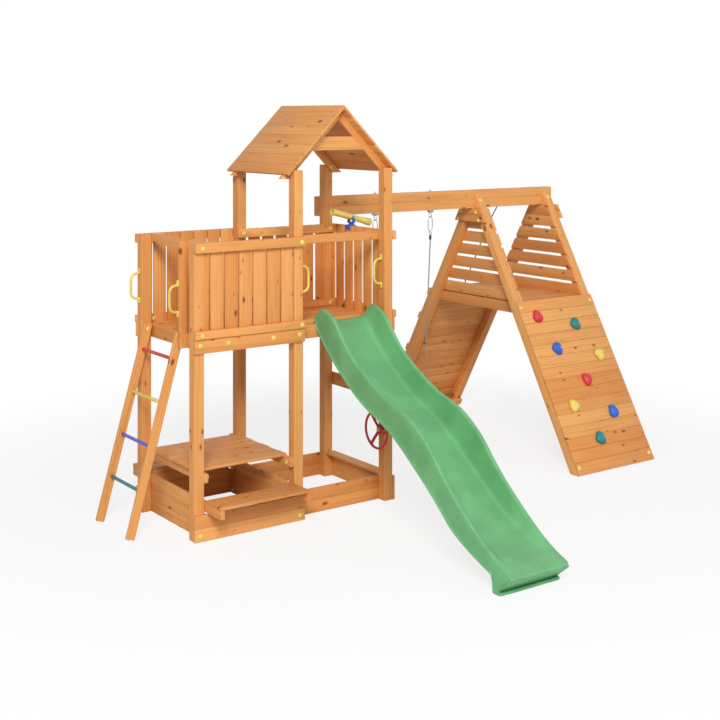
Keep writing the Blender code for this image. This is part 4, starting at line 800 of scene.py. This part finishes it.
@dataclass
class ClimbingFrame:
    """A-frame with cabin, climbing wall, coloured holds and boarded ramp."""

    left: float = 3.410
    right: float = 4.350
    post: float = 0.080
    rail: float = 0.034
    board: float = 0.0197
    front_foot: float = -0.444
    front_slope: float = 1.334 / 2.350
    back_foot: float = 2.350
    back_slope: float = 1.380 / 2.350
    leg_top: float = 2.350
    beam_front: float = 0.890
    beam_back: float = 0.970
    beam_under: float = 2.207
    wall_top: float = 1.382
    wall_boards: int = 15
    battens: tuple = (0.410, 0.747, 1.087, 1.336)
    gusset_high: float = 0.063
    gusset_past_leg: float = 0.016

    def leg_frame(self, front: bool, x: float) -> Matrix:
        """Frame on a leg's foot: X up the leg, Y across the set, Z out of its outer edge.

        Args:
            front: whether it is a front leg.
            x: where the frame stands along X.

        Returns:
            The frame.
        """
        slope, side = (self.front_slope, -1) if front else (self.back_slope, 1)
        up = Vector((0, -side * slope, 1)).normalized()
        out = Vector((0, side, slope)).normalized()
        turn = Matrix((up, out.cross(up), out)).transposed().to_4x4()
        return Matrix.Translation((x, self.front_foot if front else self.back_foot, 0)) @ turn

    def edge_cuts(self, inset: float) -> list[tuple]:
        """Planes along the outer edges of the legs, a little inside them."""
        cuts = []
        for front in (True, False):
            frame = self.leg_frame(front, 0.0)
            out = frame.to_3x3() @ Vector((0, 0, 1))
            cuts.append((frame.translation - out * inset, out))
        return cuts

    def sides(self) -> None:
        """Legs, cabin slats and gussets of both sides."""
        cuts = self.edge_cuts(0.003)
        low_slats = [1.377 + 0.1245 * index for index in range(5)]
        top = self.beam_under - 0.005
        bottoms = low_slats + [top - 0.201, top - 0.100]
        for seed, (name, outer, side) in enumerate((("aframe_left", self.left, 1),
                                                    ("aframe_right", self.right, -1))):
            boards = Boards(name + "_boards", 81 + seed, ease=0.003)
            inner = outer + side * self.post
            for front in (True, False):
                frame = self.leg_frame(front, 0.0)
                across = frame.to_3x3() @ Vector((0, 1, 0))
                span = between(outer * across.x, inner * across.x)
                stop = self.beam_front if front else self.beam_back + GAP
                way = 1 if front else -1
                leg_cuts = [((0, 0, 0), (0, 0, -1)), ((0, stop, 0), (0, way, 0))]
                boards.lay((-0.10, 2.75), span, (-self.post, 0.0), Grain.X, frame, leg_cuts,
                           tone=0.75 if front else 0.5)
            for bottom in bottoms:
                x = between(inner + side * GAP, inner + side * self.board)
                boards.lay(x, (0.2, 1.7), (bottom, bottom + 0.100), Grain.Y, cuts=cuts)
            for level in (0, 1):
                high = self.beam_under - GAP - level * (self.gusset_high + 0.001)
                x = between(outer - side * GAP, outer - side * self.rail)
                boards.lay(x, (0.6, 1.3), (high - self.gusset_high, high), Grain.Y,
                           cuts=self.edge_cuts(-self.gusset_past_leg))
            boards.done(name)

    def floor(self) -> None:
        """Cabin floor boards on two beams."""
        boards = Boards("cabin_floor_boards", 91)
        cuts = self.edge_cuts(0.003)
        low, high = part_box("cabin_floor")
        inner = (self.left + self.post, self.right - self.post)
        for x in ((inner[0] + GAP, inner[0] + self.rail), (inner[1] - self.rail, inner[1] - GAP)):
            boards.lay(x, (0.1, 1.8), (low.z, high.z - self.board - GAP), Grain.Y, cuts=cuts)
        first = self.front_foot + self.front_slope * high.z + 0.005
        last = self.back_foot - self.back_slope * high.z - 0.005
        for y in row(first, last, 11, 0.004):
            boards.lay((inner[0] + 0.020, inner[1] - 0.020), y, (high.z - self.board, high.z), Grain.X)
        boards.done("cabin_floor")

    def wall_and_ramp(self) -> None:
        """Boards of the climbing wall and the ramp, with foot battens on the ramp."""
        for seed, (name, front) in enumerate((("climbing_wall", True), ("ramp", False))):
            boards = Boards(name + "_boards", 93 + seed)
            frame = self.leg_frame(front, 0.0)
            across = frame.to_3x3() @ Vector((0, 1, 0))
            span = between(self.left * across.x, self.right * across.x)
            slope = self.front_slope if front else self.back_slope
            length = self.wall_top * math.sqrt(1 + slope ** 2)
            for x in row(0.0, length, self.wall_boards, 0.0012):
                boards.lay(x, span, (GAP, self.board), Grain.Y, frame)
            if not front:
                for z in self.battens:
                    middle = z * math.sqrt(1 + slope ** 2)
                    boards.lay((middle - 0.035, middle + 0.035), span,
                               (self.board + GAP, 2 * self.board), Grain.Y, frame)
            boards.done(name)

    def build(self) -> None:
        """Make the climbing frame."""
        self.sides()
        self.floor()
        self.wall_and_ramp()


@dataclass
class Holds:
    """Moulded climbing holds, each with two bolt recesses."""

    frame: ClimbingFrame
    radius: float = 0.057
    height: float = 0.042
    hole: float = 0.36
    bolt: tuple = ((0.0085, 0.0), (0.0085, 0.0045), (0.0045, 0.0055), (0.0, 0.0045))
    spots: tuple = ((0.177, 1.428, Paint.RED), (0.596, 1.319, Paint.TEAL), (0.271, 1.115, Paint.BLUE),
                    (0.750, 1.007, Paint.YELLOW), (0.486, 0.798, Paint.RED), (0.220, 0.586, Paint.YELLOW),
                    (0.655, 0.476, Paint.BLUE), (0.386, 0.272, Paint.TEAL))

    def build(self) -> None:
        """Make the holds."""
        base = self.frame.leg_frame(True, 0.0)
        across = base.to_3x3() @ Vector((0, 1, 0))
        bolts = bmesh.new()
        for number, (x, s, paint) in enumerate(self.spots):
            mesh = bmesh.new()
            bmesh.ops.create_icosphere(mesh, subdivisions=3, radius=1.0)
            bmesh.ops.bisect_plane(mesh, geom=mesh.verts[:] + mesh.edges[:] + mesh.faces[:],
                                   plane_co=(0, 0, 0), plane_no=(0, 0, -1), clear_outer=True)
            rim = [edge for edge in mesh.edges if edge.is_boundary]
            bmesh.ops.edgeloop_fill(mesh, edges=rim)
            for vert in mesh.verts:
                angle = math.atan2(vert.co.y, vert.co.x)
                wave = 1 + 0.10 * math.cos(3 * angle + number) + 0.06 * math.cos(2 * angle)
                flat = min(vert.co.z * 1.25, 1.0)
                vert.co = Vector((vert.co.x * wave, vert.co.y * wave, flat))
                for hole in (-self.hole, self.hole):
                    reach = math.hypot(vert.co.x, vert.co.y - hole)
                    vert.co.z -= 0.40 * max(0.0, 1 - reach / 0.28) * (vert.co.z > 0.3)
            side = 1 if across.x > 0 else -1
            centre = base @ Vector((s, side * (self.frame.left + x), self.frame.board))
            turn = base.to_3x3().to_4x4()
            for hole in (-self.hole, self.hole):
                spot = Vector((0, hole * self.radius, 0.72 * self.height))
                spun(bolts, self.bolt, Matrix.Translation(centre) @ turn @ spot, turn @ Vector((0, 0, 1)))
            place = Matrix.Translation(centre) @ turn @ Matrix.Diagonal(
                (self.radius, self.radius, self.height, 1.0))
            bmesh.ops.transform(mesh, matrix=place, verts=mesh.verts)
            finish = PlasticFinish(f"hold_{number}_plastic", paint.value, 0.42, 300.0)
            piece = as_piece(f"climbing_hold_{number}", mesh, finish.build(), sharp=60.0)
            rounded(piece, 1)
        as_piece("hold_bolts", bolts, SteelFinish("hold_bolt_steel").build())


@dataclass
class MouldedParts:
    """Slide, handles, steering wheel, telescope and swing seat."""

    def build(self) -> None:
        """Round the moulded nodes and give them plastic."""
        green = PlasticFinish("slide_plastic", Paint.GREEN.value, 0.34, 260.0, 0.05).build()
        Moulding("slide", "green_plastic", levels=2, crease_over=55.0).build(green)
        yellow = PlasticFinish("yellow_plastic", Paint.YELLOW.value).build()
        red = PlasticFinish("red_plastic", Paint.RED.value).build()
        for place in ("ladder_jamb", "ladder_post", "slide_left", "slide_right"):
            Moulding("handle_" + place, "yellow_plastic", levels=1).build(yellow)
        Moulding("steering_wheel", "red_plastic", "wheel", 1).build(red)
        Moulding("wheel_cap", "yellow_plastic", "wheel", 1).build(yellow)
        Moulding("telescope_tube", "yellow_plastic", "tube", 1).build(yellow)
        Moulding("swing_seat", "red_plastic", "swing", 1).build(red)
        for name in ("wheel_spindle", "telescope_clamp", "telescope_fork"):
            dress(name, PlasticFinish(name + "_plastic", Paint.BLUE.value))


STRAND_CORNERS = 7
STRAND_OFFSET = 0.48  # of a strand's middle from the rope's, as a share of the rope's radius


def laid_rope(route: Sequence[Vector], radius: float, lay: float) -> bmesh.types.BMesh:
    """Three strands twisted round a route.

    Args:
        route: points close together on the rope's middle line.
        radius: half the rope's thickness.
        lay: length of one full twist.

    Returns:
        The strands as one mesh.
    """
    mesh = bmesh.new()
    rings = [[] for _ in range(3)]
    side = Vector((1, 0, 0))
    gone = 0.0
    for index, point in enumerate(route):
        before = route[max(index - 1, 0)]
        after = route[min(index + 1, len(route) - 1)]
        ahead = (after - before).normalized()
        side = (side - ahead * side.dot(ahead)).normalized()
        other = ahead.cross(side)
        gone += (point - before).length
        for strand, loops in enumerate(rings):
            turn = 2 * math.pi * (gone / lay + strand / 3)
            middle = point + (side * math.cos(turn) + other * math.sin(turn)) * radius * STRAND_OFFSET
            thick = radius * (1 - STRAND_OFFSET)
            corners = [turn + 2 * math.pi * corner / STRAND_CORNERS for corner in range(STRAND_CORNERS)]
            loops.append([mesh.verts.new(middle + (side * math.cos(a) + other * math.sin(a)) * thick)
                          for a in corners])
    for loops in rings:
        for ring, following in zip(loops, loops[1:]):
            for corner in range(STRAND_CORNERS):
                nearby = (corner + 1) % STRAND_CORNERS
                mesh.faces.new((ring[corner], ring[nearby], following[nearby], following[corner]))
        mesh.faces.new(loops[0])
        mesh.faces.new(loops[-1][::-1])
    bmesh.ops.recalc_face_normals(mesh, faces=mesh.faces)
    return mesh


def smooth_route(points: Sequence[tuple], spacing: float) -> list[Vector]:
    """Evenly spaced points on a smooth curve through the given ones.

    Args:
        points: where the curve goes.
        spacing: about how far apart the points are.

    Returns:
        The points.
    """
    given = [Vector(point) for point in points]
    ends = [given[0] * 2 - given[1]] + given + [given[-1] * 2 - given[-2]]
    fine = []
    for before, start, stop, after in zip(ends, ends[1:], ends[2:], ends[3:]):
        for step in range(40):
            t = step / 40
            fine.append(0.5 * (2 * start + (stop - before) * t
                               + (2 * before - 5 * start + 4 * stop - after) * t * t
                               + (3 * start - before - 3 * stop + after) * t * t * t))
    fine.append(given[-1])
    route = [fine[0]]
    for point in fine[1:]:
        while (point - route[-1]).length >= spacing:
            route.append(route[-1] + (point - route[-1]).normalized() * spacing)
    if (fine[-1] - route[-1]).length > spacing / 4:
        route.append(fine[-1])
    return route


def spun(mesh: bmesh.types.BMesh, profile: Sequence[Span], spot: tuple, out: tuple) -> None:
    """Spin a profile of (radius, height) that ends on the axis, and close its base.

    Args:
        mesh: the mesh that gathers the shape.
        profile: the profile's points, from its open base up to the axis.
        spot: the middle of the base.
        out: the way the axis points.
    """
    points = [mesh.verts.new((radius, 0, height)) for radius, height in profile]
    edges = [mesh.edges.new(pair) for pair in zip(points, points[1:])]
    before = set(mesh.verts) - set(points)
    bmesh.ops.spin(mesh, geom=points + edges, cent=(0, 0, 0), axis=(0, 0, 1), angle=2 * math.pi,
                   steps=20, use_merge=True)
    made = [vert for vert in mesh.verts if vert not in before]
    bmesh.ops.remove_doubles(mesh, verts=made, dist=0.00001)
    made = [vert for vert in mesh.verts if vert not in before]
    rim = {edge for vert in made for edge in vert.link_edges if edge.is_boundary}
    bmesh.ops.edgeloop_fill(mesh, edges=list(rim))
    turn = Vector(out).to_track_quat("Z", "Y").to_matrix().to_4x4()
    bmesh.ops.transform(mesh, matrix=Matrix.Translation(spot) @ turn, verts=made)


@dataclass
class Ropes:
    """Swing ropes in tension and the loose climbing rope with its knot."""

    width: float = 0.012
    lay: float = 0.040
    spacing: float = 0.005
    sharp: float = 80.0
    fibre: Colour = (0.42, 0.37, 0.31)
    grey: Colour = (0.075, 0.075, 0.080)
    pulled_tight: float = 0.45
    knot_middle: tuple = (3.870, 2.0855, 0.5425)
    knot_reach: float = 0.0042
    knot_height: float = 0.0075
    knot_steps: int = 90
    climbing_points: tuple = (
        (3.870, 0.9703, 2.3300), (3.870, 0.9883, 2.3300), (3.870, 1.0223, 2.3060),
        (3.870, 1.0553, 2.2450), (3.870, 1.2002, 2.0500), (3.870, 1.3764, 1.7500),
        (3.870, 1.5819, 1.4000), (3.870, 1.8168, 1.0000), (3.870, 2.0651, 0.5772),
        (3.870, 2.0752, 0.5600))
    swing_middle: float = 2.5925
    swing_y: float = 0.930
    swing_top: float = 1.9357
    swing_foot: float = 0.4803
    spread_top: float = 0.3125
    spread_foot: float = 0.240
    straight: float = 0.014

    def climbing(self) -> None:
        """The climbing rope, which leaves the beam and lies down the ramp, with its knot."""
        route = smooth_route(self.climbing_points, self.spacing)
        finish = RopeFinish("climbing_rope_fibre", self.grey).build()
        strands = laid_rope(route, self.width / 2, self.lay)
        piece = as_piece("climbing_rope_laid", strands, finish, sharp=self.sharp)
        stand_for(piece, "grey_rope", "climbing_rope")
        middle = Vector(self.knot_middle)
        loops = []
        for step in range(self.knot_steps + 1):
            t = 2 * math.pi * step / self.knot_steps
            flat = Vector((math.cos(t) - 2 * math.cos(2 * t), math.sin(t) + 2 * math.sin(2 * t), 0))
            rise = Vector((0, 0, -math.sin(3 * t)))
            loops.append(middle + flat * self.knot_reach + rise * self.knot_height)
        strands = laid_rope(loops, self.width * self.pulled_tight, self.lay)
        knot = as_piece("rope_knot_tied", strands, finish, sharp=self.sharp)
        stand_for(knot, "grey_rope", "rope_knot")
        length = sum((after - before).length for before, after in zip(route, route[1:]))
        LOG.info("climbing rope %.3f m", length)

    def swing(self) -> None:
        """The swing's two ropes, from the ferrules to the seat."""
        y, top, bottom = self.swing_y, self.swing_top, self.swing_foot
        for side, word in ((-1, "left"), (1, "right")):
            x = self.swing_middle + side * self.spread_top
            foot = self.swing_middle + side * self.spread_foot
            lean = (foot - x) / (top - bottom)
            route = smooth_route([
                (x, y, top), (x, y, top - self.straight), (x + lean * 0.3, y, top - 0.3),
                (x + lean * 0.8, y, top - 0.8), (foot - lean * 0.3, y, bottom + 0.3),
                (foot, y, bottom + self.straight), (foot, y, bottom)], self.spacing)
            finish = RopeFinish(f"swing_rope_{word}_fibre", self.fibre).build()
            strands = laid_rope(route, self.width / 2, self.lay)
            piece = as_piece(f"swing_rope_{word}_laid", strands, finish, "swing", self.sharp)
            stand_for(piece, "rope", "swing_rope_" + word)

    def build(self) -> None:
        """Make all the ropes."""
        self.climbing()
        self.swing()


@dataclass
class Fittings:
    """Steel eyes and hangers, with the black ferrules and the bolt ends above the beam."""

    axis_y: float = 0.930
    hangers: tuple = (2.280, 2.905)
    ferrule: Span = (1.9360, 1.9762)
    beam_top: float = 2.374
    bolt: tuple = ((0.015, 0.0), (0.015, 0.0025), (0.0095, 0.0026), (0.0095, 0.0105),
                   (0.0045, 0.0115), (0.0045, 0.0230), (0.0035, 0.0250), (0.0, 0.0250))

    def build(self) -> None:
        """Round the steel pieces and add what the model leaves out."""
        steel = SteelFinish("hanger_steel").build()
        for word in ("left", "right"):
            Moulding("swing_eye_" + word, "steel", levels=1).build(steel)
            Moulding("swing_hanger_" + word, "steel", "swing", 1).build(steel)
        sleeves, bolts = bmesh.new(), bmesh.new()
        low, high = self.ferrule
        sleeve = ((0.0100, 0.0), (0.0106, 0.002), (0.0106, high - low - 0.002),
                  (0.0098, high - low), (0.0, high - low))
        for x in self.hangers:
            spun(sleeves, sleeve, (x, self.axis_y, low), (0, 0, 1))
            spun(bolts, self.bolt, (x, self.axis_y, self.beam_top), (0, 0, 1))
        black = PlasticFinish("ferrule_plastic", (0.015, 0.015, 0.015), 0.45)
        as_piece("rope_ferrules", sleeves, black.build(), "swing")
        as_piece("beam_bolt_ends", bolts, steel)


@dataclass
class Caps:
    """Yellow domed caps over the bolts."""

    radius: float = 0.018
    height: float = 0.009
    gusset_caps: tuple = ((1.058, 2.166), (0.844, 2.167), (1.098, 2.098), (0.804, 2.097))
    frame: ClimbingFrame = field(default_factory=ClimbingFrame)

    def spots(self) -> list[tuple]:
        """Where the caps sit, on the rails and boards that their bolts hold.

        Returns:
            (place, direction) of each cap.
        """
        left, right, front, back = (-1, 0, 0), (1, 0, 0), (0, -1, 0), (0, 1, 0)
        rails, frames = (2.109, 1.482), (1.409, 0.045)
        spots = [((x, -0.0743, z), front) for x in (0.011, 0.860) for z in rails]
        spots += [((x, 0.9243, z), back) for x in (0.011, 0.860) for z in rails]
        spots += [((1.7743, y, z), right) for y in (0.0, 0.850) for z in rails]
        spots += [((x, 0.7757, z), front) for x in (0.850, 1.700) for z in rails]
        spots += [((x, -0.060, frames[0]), front) for x in (0.0, 0.233, 0.614, 0.848)]
        spots += [((x, -0.060, frames[1]), front) for x in (0.0, 0.850)]
        spots += [((x, 0.910, z), back) for x in (0.0, 0.850, 1.700) for z in frames]
        spots += [((1.760, y, z), right) for y in (0.0, 0.850) for z in frames]
        spots += [((-0.004, 0.7757, 1.422), front), ((0.094, 0.876, 1.480), front)]
        spots += [((0.7757, 0.019, 0.437), left), ((0.0743, -0.020, 0.453), right),
                  ((0.7757, 0.855, 0.225), left), ((0.7900, 0.855, 0.030), left)]
        spots += [((x, 0.7757, 2.638), front) for x in (0.850, 1.700)]
        for x, out in ((3.376, left), (4.384, right)):
            spots += [((x, y, z), out) for y, z in self.gusset_caps]
        for face, steps in ((True, (1.530, 0.065)), (False, (1.540, 0.065))):
            leg = self.frame.leg_frame(face, 0.0)
            out = tuple(leg.to_3x3() @ Vector((0, 0, 1)))
            for x in (3.440, 4.310):
                shift = Vector((x, 0, 0))
                spots += [(tuple(leg @ Vector((s, 0, self.frame.board)) + shift), out) for s in steps]
                if face:
                    spots.append((tuple(leg @ Vector((2.62, 0, 0)) + shift), out))
        return spots

    def build(self) -> None:
        """Make all the caps as one piece."""
        mesh = bmesh.new()
        shares = ((1.0, 0.0), (1.0, 0.4), (0.8, 0.8), (0.4, 1.0), (0.0, 1.0))
        profile = [(self.radius * out, self.height * up) for out, up in shares]
        for spot, out in self.spots():
            spun(mesh, profile, spot, out)
        bmesh.ops.recalc_face_normals(mesh, faces=mesh.faces)
        plastic = PlasticFinish("cap_plastic", Paint.YELLOW.value, 0.40).build()
        stand_for(as_piece("bolt_caps", mesh, plastic), "yellow_plastic")


@dataclass
class Studio:
    """Camera, soft lights, white backdrop and pale floor."""

    lens: float = 63.476
    place: tuple = (-4.3728, -8.1359, 3.0529)
    heading: float = math.radians(35.59)
    shift: float = -0.337
    key: float = 3050.0
    fill: float = 110.0
    ambient: float = 0.29
    glow: float = 0.80
    aim: tuple = (2.0, 0.4, 1.0)
    middle: tuple = (2.0, 0.2, 0.0)
    shadow_fade: Span = (5.5, 2.5)

    def camera(self) -> None:
        """Set the camera where the photograph was taken from."""
        data = bpy.data.cameras.new("camera")
        data.sensor_width = 36.0
        data.lens = self.lens
        data.shift_y = self.shift
        data.clip_end = 200.0
        camera = bpy.data.objects.new("camera", data)
        camera.location = self.place
        camera.rotation_euler = (math.pi / 2, 0.0, -self.heading)
        bpy.context.collection.objects.link(camera)
        bpy.context.scene.camera = camera

    def lamp(self, name: str, place: tuple, size: float, power: float) -> None:
        """Add a square area lamp that points at the set.

        Args:
            name: its name.
            place: where it stands.
            size: its side.
            power: its watts.
        """
        data = bpy.data.lights.new(name, "AREA")
        data.size = size
        data.energy = power
        lamp = bpy.data.objects.new(name, data)
        lamp.location = place
        lamp.rotation_euler = (Vector(self.aim) - Vector(place)).to_track_quat("-Z", "Y").to_euler()
        bpy.context.collection.objects.link(lamp)

    def floor(self) -> None:
        """Lay a pale floor that the camera sees as white, with only a soft shadow."""
        mesh = bmesh.new()
        bmesh.ops.create_grid(mesh, x_segments=1, y_segments=1, size=60.0)
        recipe = Recipe("floor_paint")
        recipe.surface(Base_Color=(0.93, 0.93, 0.93), Roughness=1.0, Specular_IOR_Level=0.0)
        glow = recipe.node("ShaderNodeEmission", {}, {"Color": (1.0, 1.0, 1.0), "Strength": 1.0})
        place = recipe.out(recipe.node("ShaderNodeTexCoord"), "Object")
        from_set = recipe.node("ShaderNodeVectorMath", {"operation": "DISTANCE"},
                               {0: place, 1: self.middle})
        near = recipe.out(from_set, "Value").step(*self.shadow_fade)
        share = recipe.light_ray("Is Camera Ray") * (1.0 - near * (1.0 - self.glow))
        blend = recipe.node("ShaderNodeMixShader", {}, {
            0: share, 1: Value(recipe, recipe.shader.outputs[0]), 2: recipe.out(glow)})
        recipe.feed(recipe.output.inputs["Surface"], recipe.out(blend))
        data = bpy.data.meshes.new("floor")
        mesh.to_mesh(data)
        mesh.free()
        data.materials.append(recipe.material)
        floor = bpy.data.objects.new("floor", data)
        floor.location.z = -0.001
        bpy.context.collection.objects.link(floor)

    def sky(self) -> None:
        """Light from all round, seen as plain white by the camera and in reflections."""
        world = bpy.data.worlds.new("studio")
        world.use_nodes = True
        recipe = Recipe.of_world(world)
        seen = recipe.light_ray("Is Camera Ray", "Is Glossy Ray", "Is Transmission Ray")
        background = world.node_tree.nodes["Background"]
        recipe.feed(background.inputs["Color"], (1.0, 1.0, 1.0))
        recipe.feed(background.inputs["Strength"], seen * (1.0 - self.ambient) + self.ambient)
        bpy.context.scene.world = world

    def build(self) -> None:
        """Set up the studio."""
        self.camera()
        self.lamp("key_lamp", (-8.0, -13.2, 11.8), 6.5, self.key)
        self.lamp("fill_lamp", (7.0, -7.0, 6.0), 7.0, self.fill)
        self.floor()
        self.sky()
        bpy.context.scene.view_settings.view_transform = "Standard"


def main() -> None:
    """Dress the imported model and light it."""
    logging.basicConfig(level=logging.INFO)
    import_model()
    frame = ClimbingFrame()
    studio = Studio()
    studio.build()
    for part in (Ropes(), Tower(), PicnicSet(), Ladder(), Roof(), frame, Holds(frame), MouldedParts(),
                 Fittings(), Caps(frame=frame)):
        part.build()
        LOG.info("dressed %s", type(part).__name__)


if __name__ == "__main__":
    main()
